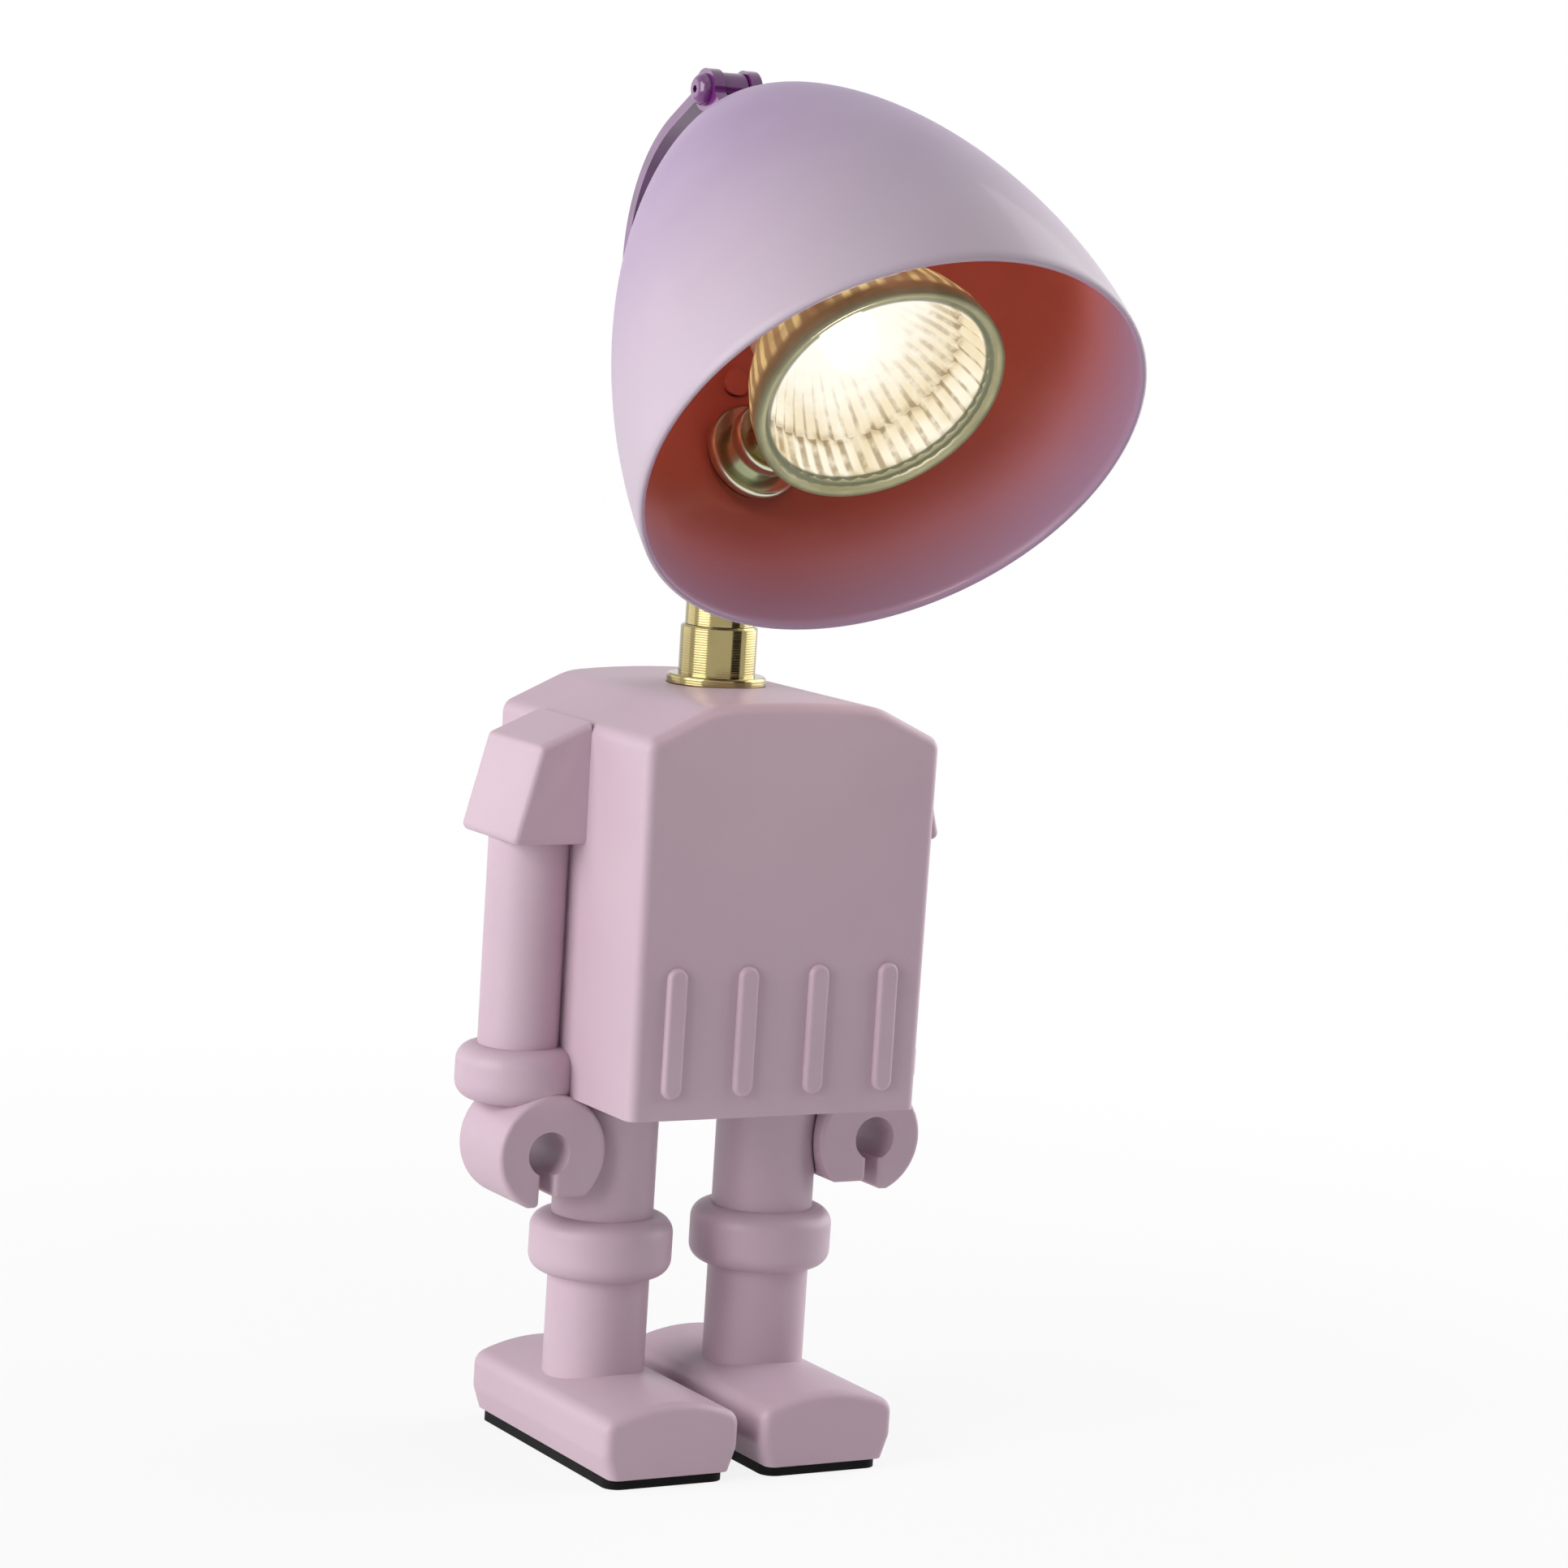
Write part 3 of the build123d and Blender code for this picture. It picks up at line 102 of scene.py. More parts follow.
# %% Signals
class Signal:
    """A number, colour or vector that comes out of a node. Arithmetic on it adds Math nodes."""

    def __init__(self, graph, socket):
        self.graph = graph
        self.socket = socket

    def calculate(self, operation, *values):
        return self.graph.node("ShaderNodeMath", {"operation": operation}, dict(enumerate(values)))

    def __add__(self, other):
        return self.calculate("ADD", self, other)

    def __radd__(self, other):
        return self.calculate("ADD", other, self)

    def __sub__(self, other):
        return self.calculate("SUBTRACT", self, other)

    def __rsub__(self, other):
        return self.calculate("SUBTRACT", other, self)

    def __mul__(self, other):
        return self.calculate("MULTIPLY", self, other)

    def __rmul__(self, other):
        return self.calculate("MULTIPLY", other, self)

    def sine(self):
        return self.calculate("SINE", self)

    def root(self):
        return self.calculate("SQRT", self)

    def angle_from(self, other):
        return self.calculate("ARCTAN2", self, other)

    def most(self, other):
        return self.calculate("MAXIMUM", self, other)

    def over(self, low, high):
        """0 below low, 1 above high and a soft step between them."""
        settings = {"interpolation_type": "SMOOTHSTEP"}
        return self.graph.node("ShaderNodeMapRange", settings, {0: self, 1: low, 2: high})


print("a signal also knows", [name for name in vars(Signal) if not name.startswith("_")])

# %% [markdown]
# ## A graph that adds its own nodes
# A second class owns a tree of nodes and adds any node from its type, its settings and its inputs. Settings
# come first, because some of them, such as a Mix node's data type, change which sockets are in use. The world
# uses this class as it is, and a material adds the patterns that paint and metal need.

# %% Graphs
class Graph:
    """A tree of shader nodes."""

    def __init__(self, tree):
        self.tree = tree

    def feed(self, socket, value):
        """Links a signal to the socket, or sets a plain value on it."""
        if isinstance(value, Signal):
            self.tree.links.new(value.socket, socket)
        else:
            socket.default_value = value

    def node(self, kind, settings=None, inputs=None, output=0):
        """Adds a node from its type, its settings and its inputs, and gives one of its outputs."""
        made = self.tree.nodes.new(kind)
        for key, value in (settings or {}).items():
            setattr(made, key, value)
        for key, value in (inputs or {}).items():
            self.feed(made.inputs[key], value)
        return Signal(self, made.outputs[output])

    def split(self, vector):
        """The three parts of a vector."""
        parted = self.node("ShaderNodeSeparateXYZ", None, {0: vector}).socket.node
        return [Signal(self, part) for part in parted.outputs]


print("a graph can", [name for name in vars(Graph) if not name.startswith("_")])

# %% [markdown]
# ## Finishes
# Every finish below is a Principled shader with patterns on Object coordinates, which are the lamp's own
# coordinates here, so a pattern runs on from piece to piece and needs no unwrapped map. Where a pattern has
# to follow one piece, a Mapping node moves and turns the coordinates to that piece's axes, and its scale
# makes them millimetres, which are easier to read than fractions of a metre.

# %% Finishes
millimetre = 0.001


class Finish(Graph):
    """One material: a principled shader and the nodes that feed it."""

    def __init__(self, name):
        self.material = bpy.data.materials.new(name)
        self.material.use_nodes = True
        super().__init__(self.material.node_tree)
        self.shader = self.tree.nodes["Principled BSDF"]
        self.place = self.node("ShaderNodeTexCoord", output="Object")

    def on_axes(self, axes):
        """Place on a piece's own axes, across, down and along it, in millimetres."""
        inputs = {"Vector": self.place, "Location": axes.translation, "Rotation": axes.to_euler()}
        inputs["Scale"] = (millimetre, millimetre, millimetre)
        return self.split(self.node("ShaderNodeMapping", {"vector_type": "TEXTURE"}, inputs))

    def noise(self, per_metre, detail=2.0, vector=None):
        """Cloudy pattern from 0 to 1, with about this many patches to a metre."""
        inputs = {"Vector": vector or self.place, "Scale": per_metre, "Detail": detail}
        return self.node("ShaderNodeTexNoise", None, inputs)

    def stretch(self, scale):
        """Coordinates with their own scale on each axis."""
        return self.node("ShaderNodeVectorMath", {"operation": "MULTIPLY"}, {0: self.place, 1: scale})

    def blend(self, low, high, share):
        """Colour that goes from low to high as share goes from 0 to 1."""
        return self.node("ShaderNodeMix", {"data_type": "RGBA"}, {0: share, 6: low, 7: high}, output=2)

    def bump(self, height, strength, distance):
        """Normal of a surface whose relief is height times distance."""
        inputs = {"Height": height, "Strength": strength, "Distance": distance}
        return self.node("ShaderNodeBump", None, inputs)

    def surface(self, **values):
        """Feeds the shader's sockets by name, such as base_color, and gives the material."""
        for key, value in values.items():
            socket_name = key.replace("_", " ").title().replace("Ior", "IOR")
            self.feed(self.shader.inputs[socket_name], value)
        return self.material


print("a finish can", [name for name in vars(Finish) if not name.startswith("_")])

# %% [markdown]
# ## Colours and who wears them
# Colours are written as they look on screen, because that is how a maker compares them with a picture. The
# shader wants them linear, so one function translates. CAD nodes whose shape is right keep their meshes and
# only get a material, which is why most of the lamp needs no new geometry.

# %% Colour and coat
def colour(red, green, blue):
    """A colour as it looks on screen, in parts of 255, made linear by the usual sRGB curve."""
    shares = [channel / 255 for channel in (red, green, blue)]
    linear = [share / 12.92 if share < 0.04045 else ((share + 0.055) / 1.055) ** 2.4 for share in shares]
    return (*linear, 1.0)


def coat_nodes(material, *names):
    """Gives the material to CAD nodes."""
    for name in names:
        nodes[name].data.materials.clear()
        nodes[name].data.materials.append(material)
    print(material.name, "on", ", ".join(names))


print("mid grey on screen is", round(colour(128, 128, 128)[0], 3), "in the shader")

# %% [markdown]
# ## The painted casting
# Torso, arms and legs are resin castings sprayed in a pale lilac pink. Sprayed satin paint isn't one flat
# colour: it has a fine peel, a faint cloudiness where the coat is thicker, and a few specks. A painted image
# could show these, but noises of very different size do it without a map and stay sharp up close. The gloss
# is kept low, because a shiny arched top would mirror the key lamp and turn white in side views.

# %% Cast paint
def cast_paint():
    finish = Finish("cast_paint")
    cloud = finish.noise(20.0, detail=3.0)
    peel = finish.noise(1100.0)
    specks = finish.noise(4200.0, detail=1.0).over(0.70, 0.76)
    tone = finish.blend(colour(198, 174, 187), colour(193, 168, 182), cloud.over(0.3, 0.7))
    tone = finish.blend(tone, colour(170, 142, 157), 0.35 * specks)
    return finish.surface(
        base_color=tone,
        roughness=0.44 + 0.08 * cloud,
        specular_ior_level=0.4,
        coat_weight=0.06,
        coat_roughness=0.25,
        normal=finish.bump(peel, 0.25, 0.06 * millimetre),
    )


coat_nodes(cast_paint(), "torso", "arm_right", "arm_left", "leg_right", "leg_left")

# %% [markdown]
# ## Rubber soles and grommet
# The pads under the feet and the ring that lines the lead's inlet are black moulded rubber: nearly no
# gloss, a dusty grey cast in patches and a grain too fine to see as a pattern. The grain is a bump, because
# real displacement of such small grains would need millions of faces.

# %% Rubber
def black_rubber():
    finish = Finish("black_rubber")
    dust = finish.noise(160.0, detail=4.0)
    grain = finish.noise(2600.0)
    return finish.surface(
        base_color=finish.blend(colour(9, 8, 8), colour(24, 22, 23), dust.over(0.45, 0.75)),
        roughness=0.62 + 0.2 * dust,
        specular_ior_level=0.15,
        normal=finish.bump(grain, 0.4, 0.05 * millimetre),
    )


coat_nodes(black_rubber(), "sole_right", "sole_left", "cord_grommet")

# %% [markdown]
# ## Turned and polished metal
# The neck is turned on a lathe and polished, which leaves hair-fine rings round its axis. A sine of the
# height gives the rings and a stretched noise keeps them from being even. Both only move the roughness and
# the bump, because polish has hardly any colour of its own to vary. Plated steel inside the body gets the
# same treatment with a coarser ring, and the nickel nut inside the shade has nearly none.

# %% Brass, nickel and steel
def turned_metal(name, light, dark, ring, roughness, ring_strength=0.12):
    """Metal with lathe rings that repeat after ring metres."""
    finish = Finish(name)
    height = finish.split(finish.place)[2]
    tarnish = finish.noise(70.0, detail=4.0)
    streaks = finish.noise(1.0, vector=finish.stretch((120.0, 120.0, 2600.0)))
    rings = (height * (math.tau / ring)).sine() * 0.5 + streaks
    return finish.surface(
        base_color=finish.blend(light, dark, tarnish.over(0.42, 0.8)),
        metallic=1.0,
        roughness=roughness + 0.10 * streaks,
        normal=finish.bump(rings, ring_strength, 0.02 * millimetre),
    )


polished_brass = turned_metal(
    "polished_brass", colour(160, 146, 102), colour(132, 116, 78), 0.5 * millimetre, 0.08
)
bright_nickel = turned_metal(
    "bright_nickel", colour(214, 218, 196), colour(184, 186, 160), 0.6 * millimetre, 0.16, ring_strength=0.01
)
plated_steel = turned_metal(
    "plated_steel", colour(196, 198, 200), colour(150, 152, 156), 0.9 * millimetre, 0.24
)
coat_nodes(polished_brass, "neck_flange", "neck_sleeve", "neck_tube", "neck_fork", "neck_nipple")
coat_nodes(polished_brass, "pivot_screw", "pivot_nut", "shade_stem", "stem_washer")
coat_nodes(bright_nickel, "stem_nut", "bulb_pins")
coat_nodes(plated_steel, "base_plate", "base_plate_screws", "leg_bolts", "leg_washers", "leg_nuts")
coat_nodes(plated_steel, "arm_dowels", "neck_washer", "neck_nut", "swivel_clip", "saddle_stud")
coat_nodes(plated_steel, "holder_pillar", "holder_screws")

# %% [markdown]
# ## Enamel and porcelain
# The handle is dipped in a deep purple gloss enamel that pools a little darker in places and sets with a
# slow wave. The lampholder and the bulb's foot are glazed porcelain with a trace of grey. Both are a colour
# under a clear layer, so the shader's coat does the shine and the patterns stay underneath it.

# %% Handle enamel and porcelain
def purple_enamel():
    finish = Finish("purple_enamel")
    pool = finish.noise(90.0, detail=3.0)
    wave = finish.noise(420.0)
    return finish.surface(
        base_color=finish.blend(colour(104, 34, 108), colour(70, 16, 76), pool.over(0.35, 0.7)),
        roughness=0.16 + 0.10 * pool,
        coat_weight=0.6,
        coat_roughness=0.06,
        normal=finish.bump(wave, 0.15, 0.08 * millimetre),
    )


def glazed_porcelain():
    finish = Finish("glazed_porcelain")
    cloud = finish.noise(60.0, detail=3.0)
    return finish.surface(
        base_color=finish.blend(colour(238, 236, 228), colour(214, 210, 200), cloud.over(0.4, 0.75)),
        roughness=0.18 + 0.12 * cloud,
        coat_weight=0.3,
    )


coat_nodes(purple_enamel(), "handle_saddle", "handle_screw", "handle_strap")
coat_nodes(glazed_porcelain(), "lampholder", "bulb_base")

# %% [markdown]
# ## Plastics
# The terminal block, the friction washers and the sleeve of the leads are pale plastics. They are the same
# finish with another tone and a finer or coarser grain, so one function makes all three.

# %% Moulded plastics
def moulded_plastic(name, light, dark, grain):
    """Matt plastic with about grain bumps to a metre."""
    finish = Finish(name)
    cloud = finish.noise(120.0)
    return finish.surface(
        base_color=finish.blend(light, dark, cloud.over(0.35, 0.75)),
        roughness=0.45 + 0.15 * cloud,
        normal=finish.bump(finish.noise(grain), 0.3, 0.06 * millimetre),
    )


block_plastic = moulded_plastic("block_plastic", colour(236, 233, 222), colour(214, 210, 198), 1500.0)
washer_plastic = moulded_plastic("washer_plastic", colour(228, 224, 214), colour(200, 196, 186), 2200.0)
lead_sleeve = moulded_plastic("lead_sleeve", colour(216, 208, 190), colour(190, 180, 160), 3800.0)
coat_nodes(block_plastic, "terminal_block")
coat_nodes(washer_plastic, "friction_washers")
coat_nodes(lead_sleeve, "torso_lead", "holder_lead")

# %% [markdown]
# ## The spun shade
# The shade is spun from thin sheet over an egg-shaped former. The CAD solid has the right form, but its two
# sides need two paints, so a finer shell takes its place. Spinning one outline is also how the real shade is
# made. The outline goes down the outside, round the rim and back up the inside, so the wall is closed from
# the start and needs no Solidify. The place and sizes are those of the CAD model.

# %% The egg's axes and outline
mouth = Vector((0, -61.207, 204.382)) * millimetre
shade_tilt = math.radians(41.9)
shade_radius = 50.0 * millimetre
shade_depth = 91.0 * millimetre
shade_wall = 1.2 * millimetre
rim_round = 0.35 * millimetre
egg_side = 1.8  # exponents of the egg's outline
egg_tip = 1.6
outline_steps = 44
into_shade = Vector((0, math.cos(shade_tilt), math.sin(shade_tilt)))
under_shade = Vector((0, math.sin(shade_tilt), -math.cos(shade_tilt)))


def axes_along(origin, along):
    """Matrix whose local z is along the given direction and whose local x stays the figure's x."""
    x_axis = Vector((1, 0, 0))
    y_axis = along.cross(x_axis)
    return Matrix.Translation(origin) @ Matrix((x_axis, y_axis, along)).transposed().to_4x4()


def egg(inset):
    """Outline of the egg from its rim to its tip as (radius, depth) pairs."""
    pairs = []
    for step in range(outline_steps + 1):
        angle = math.radians(90) * step / outline_steps
        depth = (shade_depth - inset) * math.sin(angle) ** (2 / egg_side)
        radius = (shade_radius - inset) * math.cos(angle) ** (2 / egg_tip)
        pairs.append((radius, max(depth, rim_round)))
    pairs[-1] = (0.0, shade_depth - inset)
    return pairs


shade_axes = axes_along(mouth, into_shade)
rim_crest = [(shade_radius - shade_wall / 2, 0.0)]
shade_outline = egg(0.0)[::-1] + rim_crest + egg(shade_wall)
print("shade tip at", mouth + into_shade * shade_depth, "with", len(shade_outline), "points of outline")

# %% [markdown]
# ## Paints on the shade
# Outside, the lilac deepens towards the tip, with faint spinning rings under the paint. Inside, the colour
# goes from terracotta deep in the shade to mauve near the rim. Vertex colours could hold such fades, but only
# as finely as the mesh. The depth from the mouth drives them here, so they follow the egg as it is tilted.

# %% Shade paints
terracotta_light = colour(204, 110, 92)
ring_step = 2.1  # millimetres from one spinning ring to the next


def shade_outside():
    finish = Finish("shade_outside")
    depth = finish.on_axes(shade_axes)[2]
    cloud = finish.noise(26.0, detail=3.0)
    grain = finish.noise(1900.0)
    rings = (depth * (math.tau / ring_step)).sine() * 0.3
    tip_tone = finish.blend(colour(172, 148, 182), colour(166, 140, 176), cloud.over(0.3, 0.7))
    return finish.surface(
        base_color=finish.blend(colour(188, 172, 186), tip_tone, (depth + 12.0 * cloud).over(4.0, 86.0)),
        roughness=0.46 + 0.12 * cloud,
        coat_weight=0.08,
        normal=finish.bump(rings + grain, 0.18, 0.05 * millimetre),
    )


def shade_inside():
    finish = Finish("shade_inside")
    depth = finish.on_axes(shade_axes)[2]
    cloud = finish.noise(30.0, detail=3.0)
    grain = finish.noise(1500.0)
    terracotta = finish.blend(terracotta_light, colour(192, 98, 82), cloud.over(0.3, 0.7))
    return finish.surface(
        base_color=finish.blend(colour(160, 130, 160), terracotta, (depth + 6.0 * cloud).over(2.0, 36.0)),
        roughness=0.36 + 0.14 * cloud,
        coat_weight=0.15,
        normal=finish.bump(grain, 0.15, 0.05 * millimetre),
    )


shade_paints = [shade_outside(), shade_inside()]
print("shade paints:", [paint.name for paint in shade_paints])

# %% [markdown]
# ## The handle's rivet
# The rivet was set before the inside was sprayed, so its tail is terracotta and its head purple like the
# handle. It is one CAD node, and two material slots would need its faces sorted. The distance from the egg's
# axis tells the tail from the head, so one material can do it.

# %% Rivet paint
def from_axis(across, down):
    """Distance from an axis."""
    return (across * across + down * down).root()


def rivet_paint():
    finish = Finish("rivet_paint")
    across, down = finish.on_axes(shade_axes)[:2]
    cloud = finish.noise(240.0)
    outside = (from_axis(across, down) + 0.2 * cloud).over(36.2, 36.8)
    return finish.surface(
        base_color=finish.blend(terracotta_light, colour(92, 28, 96), outside),
        roughness=0.3 + 0.1 * cloud,
    )


coat_nodes(rivet_paint(), "handle_rivet")

# %% [markdown]
# ## From an outline to a piece
# The spin operator turns a row of vertices round an axis. A full turn needs its last row merged with its
# first, and the points at a tip merged into one, before the normals are worked out again. A new piece keeps
# its place in its mesh, so that its Object coordinates are the lamp's, and it rides on a CAD body.

# %% Spin and finish helpers
merge_distance = 0.001 * millimetre


def spun_shell(outline, matrix, steps):
    """Spins (radius, height) pairs round the local z axis and sets the result at the matrix."""
    mesh = bmesh.new()
    row = [mesh.verts.new((radius, 0, height)) for radius, height in outline]
    edges = [mesh.edges.new(pair) for pair in zip(row, row[1:])]
    bmesh.ops.spin(
        mesh, geom=row + edges, cent=(0, 0, 0), axis=(0, 0, 1), angle=math.tau, steps=steps, use_merge=True
    )
    bmesh.ops.remove_doubles(mesh, verts=mesh.verts, dist=merge_distance)
    bmesh.ops.transform(mesh, matrix=matrix, verts=mesh.verts)
    bmesh.ops.recalc_face_normals(mesh, faces=mesh.faces)
    return mesh


def as_object(mesh, name, materials):
    """Turns a bmesh into an object of the scene."""
    data = bpy.data.meshes.new(name)
    mesh.to_mesh(data)
    mesh.free()
    for material in materials:
        data.materials.append(material)
    made = bpy.data.objects.new(name, data)
    scene.collection.objects.link(made)
    print(name, "faces:", len(data.polygons))
    return made


def finished_piece(mesh, name, materials, body):
    """Turns a bmesh into a smooth piece that rides on a CAD body."""
    for face in mesh.faces:
        face.smooth = True
    piece = as_object(mesh, name, materials)
    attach(piece, body)
    return piece


print("points nearer than", merge_distance, "m are merged")

# %% [markdown]
# ## The shell
# The shell is one closed wall with two material slots. A face belongs to the inside if it looks towards the
# egg's axis, and gets the second paint. That test needs no list of faces, so it still holds if the outline
# gets more points.

# %% Shade shell
turn_steps = 128

shell = spun_shell(shade_outline, shade_axes, turn_steps)
for face in shell.faces:
    outward = face.calc_center_median() - mouth
    outward -= into_shade * outward.dot(into_shade)
    face.material_index = 1 if face.normal.dot(outward) < 0 else 0
shade_shell = finished_piece(shell, "shade_shell", shade_paints, "head")
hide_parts("shade")

# %% [markdown]
# ## The lit bulb
# The bulb is a pressed-glass bowl with a mirror coat, fluted so that its beam has soft edges. Lit, the
# mirror is the brightest thing in the picture: white round the capsule, cream further out, with brown lines
# along the flutes. The flutes come in two tiers that are half a flute apart, with a fine shadow where the
# tiers meet. A true mirror would be noisy to render, so the mirror gives off the light that it would
# reflect, at a strength of 1, and the patterns are worked out from the bulb's own axes.

# %% Bulb axes and mirror
bulb_lean = math.radians(5.9)  # between the bulb's axis and the shade's
bulb_station = 11.2 * millimetre
bulb_offset = -3.2 * millimetre
flute_count = 44
bulb_face = mouth + into_shade * bulb_station + under_shade * bulb_offset
into_bulb = into_shade * math.cos(bulb_lean) + under_shade * math.sin(bulb_lean)
bulb_axes = axes_along(bulb_face, into_bulb)


def bulb_mirror():
    finish = Finish("bulb_mirror")
    across, down, depth = finish.on_axes(bulb_axes)
    inner_tier = depth.over(11.2, 11.6)
    tier_shadow = depth.over(9.8, 11.2) - depth.over(11.6, 13.2)
    flutes = (across.angle_from(down) * flute_count + math.pi * inner_tier).sine().over(0.0, 0.9)
    patches = finish.noise(330.0, detail=3.0).over(0.32, 0.62)
    warmth = finish.noise(70.0).over(0.4, 0.6)
    lines = flutes * (0.2 + 0.6 * patches) + 0.5 * tier_shadow * patches
    glare = 1.0 - (from_axis(across, down) + 2.0 * patches).over(13.2, 23.6)
    light = finish.blend(colour(254, 246, 225), colour(234, 216, 176), warmth)
    light = finish.blend(light, colour(140, 112, 70), lines)
    light = finish.blend(light, colour(255, 252, 242), glare)
    light = finish.blend(colour(132, 130, 96), light, depth.over(1.6, 4.5))
    return finish.surface(
        base_color=colour(70, 64, 50), roughness=0.25, emission_color=light, emission_strength=1.0
    )


mirror = bulb_mirror()
print(mirror.name, "faces along", -into_bulb, "from", bulb_face)

# %% [markdown]
# ## The back of the bulb
# The mirror coat lets a little warm light through, so the outside of the bowl glows in streaks behind its
# lip and faintly olive elsewhere. Light that really shines through a coat takes many samples, so this is a
# painted glow: streaks that follow the same flutes, and a dim olive glow on the rest of the bowl.

# %% Bowl glass
def bulb_glass_body():
    finish = Finish("bulb_glass_body")
    across, down, depth = finish.on_axes(bulb_axes)
    flutes = (across.angle_from(down) * flute_count).sine().over(-0.5, 0.7)
    cloud = finish.noise(90.0, detail=3.0)
    behind_lip = depth.over(2.8, 5.0) - depth.over(8.0, 20.0)
    seep = behind_lip * (0.3 + 0.7 * flutes) * cloud.over(0.3, 0.6)
    return finish.surface(
        base_color=finish.blend(colour(150, 152, 118), colour(112, 114, 84), cloud.over(0.3, 0.7)),
        roughness=0.16 + 0.1 * cloud,
        coat_weight=0.2,
        # painted glow: dim olive everywhere, cream streaks behind the lip
        emission_color=finish.blend(colour(64, 62, 38), colour(232, 206, 140), seep),
        emission_strength=0.8,
    )


glass_body = bulb_glass_body()
print(glass_body.name, "glows with", flute_count, "streaks")

# %% [markdown]
# ## The fluted bowl
# The bowl is spun as one closed wall with two columns of faces to a flute. Then every second line of its
# inner side is drawn in to raise the flutes, which is quicker than carving each one and can't leave a seam.
# The spin runs upright round z, because there a vertex tells its line by its angle, and the bowl is set on
# the bulb's axes at the end.

# %% Bowl outline
bulb_radius = 24.8 * millimetre
bulb_wall = 1.5 * millimetre
bowl_depth = 30.0 * millimetre
bowl_neck = 9.4 * millimetre
# Shares of the radius and of the depth
bowl_bend = [(1.0, 0.0), (1.0, 0.08), (0.975, 0.2), (0.9, 0.38), (0.78, 0.56), (0.62, 0.74), (0.48, 0.88)]


def bowl_side(inset):
    """Outline of the bowl from its lip to its neck, moved inward by inset."""
    pairs = [(bulb_radius * share - inset, bowl_depth * depth) for share, depth in bowl_bend]
    return pairs + [(bowl_neck - inset, bowl_depth)]


outer_side = bowl_side(0.0)
bowl_outline = outer_side[::-1] + bowl_side(bulb_wall)
bowl_outline.append(bowl_outline[0])
print("bowl outline has", len(bowl_outline), "points")

# %% Fluted bowl
bulb_lip = 2.4 * millimetre
flute_draw = 0.965  # share of its radius that a drawn-in line keeps
touching = 0.01 * millimetre

bowl = spun_shell(bowl_outline, Matrix.Identity(4), 2 * flute_count)
flute_lines = []
for vert in bowl.verts:
    radius = math.hypot(vert.co.x, vert.co.y)
    line = round(math.atan2(vert.co.y, vert.co.x) * flute_count / math.pi)
    outside = any(math.dist((radius, vert.co.z), spot) < touching for spot in outer_side)
    if line % 2 and not outside and vert.co.z > bulb_lip:
        flute_lines.append(vert)
bmesh.ops.scale(bowl, vec=(flute_draw, flute_draw, 1), verts=flute_lines)
for face in bowl.faces:
    middle = face.calc_center_median()
    face.material_index = 0 if face.normal.dot(Vector((middle.x, middle.y, 0))) < 0 else 1
bmesh.ops.transform(bowl, matrix=bulb_axes, verts=bowl.verts)
bulb_bowl = finished_piece(bowl, "bulb_bowl", [mirror, glass_body], "head")
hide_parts("bulb_reflector")

# %% [markdown]
# ## Capsule and front glass
# The light comes from a small quartz capsule in the middle of the bowl, which looks plain white when lit. The
# front is a clear disc whose edge is held by a ring of cement, dark green at its inner line and pale outside.
# A glass shader would darken and speckle the mirror behind it, so alpha makes the disc clear, and the ring is
# the part where alpha rises.

# %% Capsule and front disc
def capsule_glow():
    finish = Finish("capsule_glow")
    cloud = finish.noise(200.0)
    light = finish.blend(colour(255, 253, 245), colour(255, 246, 226), cloud)
    return finish.surface(base_color=colour(255, 250, 240), emission_color=light, emission_strength=3.0)


def front_glass():
    finish = Finish("front_glass")
    across, down = finish.on_axes(bulb_axes)[:2]
    out = from_axis(across, down)
    edge = out.over(21.6, 22.2)
    ring = finish.blend(colour(96, 104, 78), colour(182, 182, 160), out.over(22.6, 23.6))
    return finish.surface(
        base_color=finish.blend(colour(150, 152, 140), ring, edge),
        roughness=0.06,
        alpha=0.05 + 0.80 * edge,
    )


coat_nodes(capsule_glow(), "bulb_capsule")
coat_nodes(front_glass(), "bulb_front_glass")

# %% [markdown]
# ## The stem's thread
# The hollow end of the stem shows inside the shade, in the middle of its round nut. A real thread is a
# small tooth swept along a helix, and a spin that also climbs does exactly that. The Screw modifier would
# do it too, but its ends stay open, and here they can be filled at once. The tooth sits half in the stem,
# so that no gap shows.

# %% Thread on the stem's end
stem_root = Vector((0, -3.938, 197.784)) * millimetre
into_stem = Vector((0, -0.8707, 0.4918))
thread_start = stem_root + into_stem * 12.4 * millimetre
thread_radius = 4.0 * millimetre
thread_pitch = 0.9 * millimetre
thread_tooth = 0.5 * millimetre
thread_turns = 2
steps_per_turn = 32
foot_share = 0.45  # of the pitch, on each side of the tooth

tooth_foot = thread_radius - thread_tooth / 2
tooth_tip = thread_radius + thread_tooth / 2
tooth_half = foot_share * thread_pitch
tooth_corners = [(tooth_foot, -tooth_half), (tooth_tip, 0.0), (tooth_foot, tooth_half)]
helix = bmesh.new()
tooth = [helix.verts.new((radius, 0, height)) for radius, height in tooth_corners]
tooth_edges = [helix.edges.new(pair) for pair in zip(tooth, tooth[1:] + tooth[:1])]
bmesh.ops.spin(
    helix,
    geom=tooth + tooth_edges,
    cent=(0, 0, 0),
    axis=(0, 0, 1),
    dvec=(0, 0, thread_pitch / steps_per_turn),
    angle=math.tau * thread_turns,
    steps=steps_per_turn * thread_turns,
)
bmesh.ops.holes_fill(helix, edges=[edge for edge in helix.edges if edge.is_boundary])
bmesh.ops.transform(helix, matrix=axes_along(thread_start, into_stem), verts=helix.verts)
bmesh.ops.recalc_face_normals(helix, faces=helix.faces)
stem_thread = finished_piece(helix, "stem_thread", [polished_brass], "head")

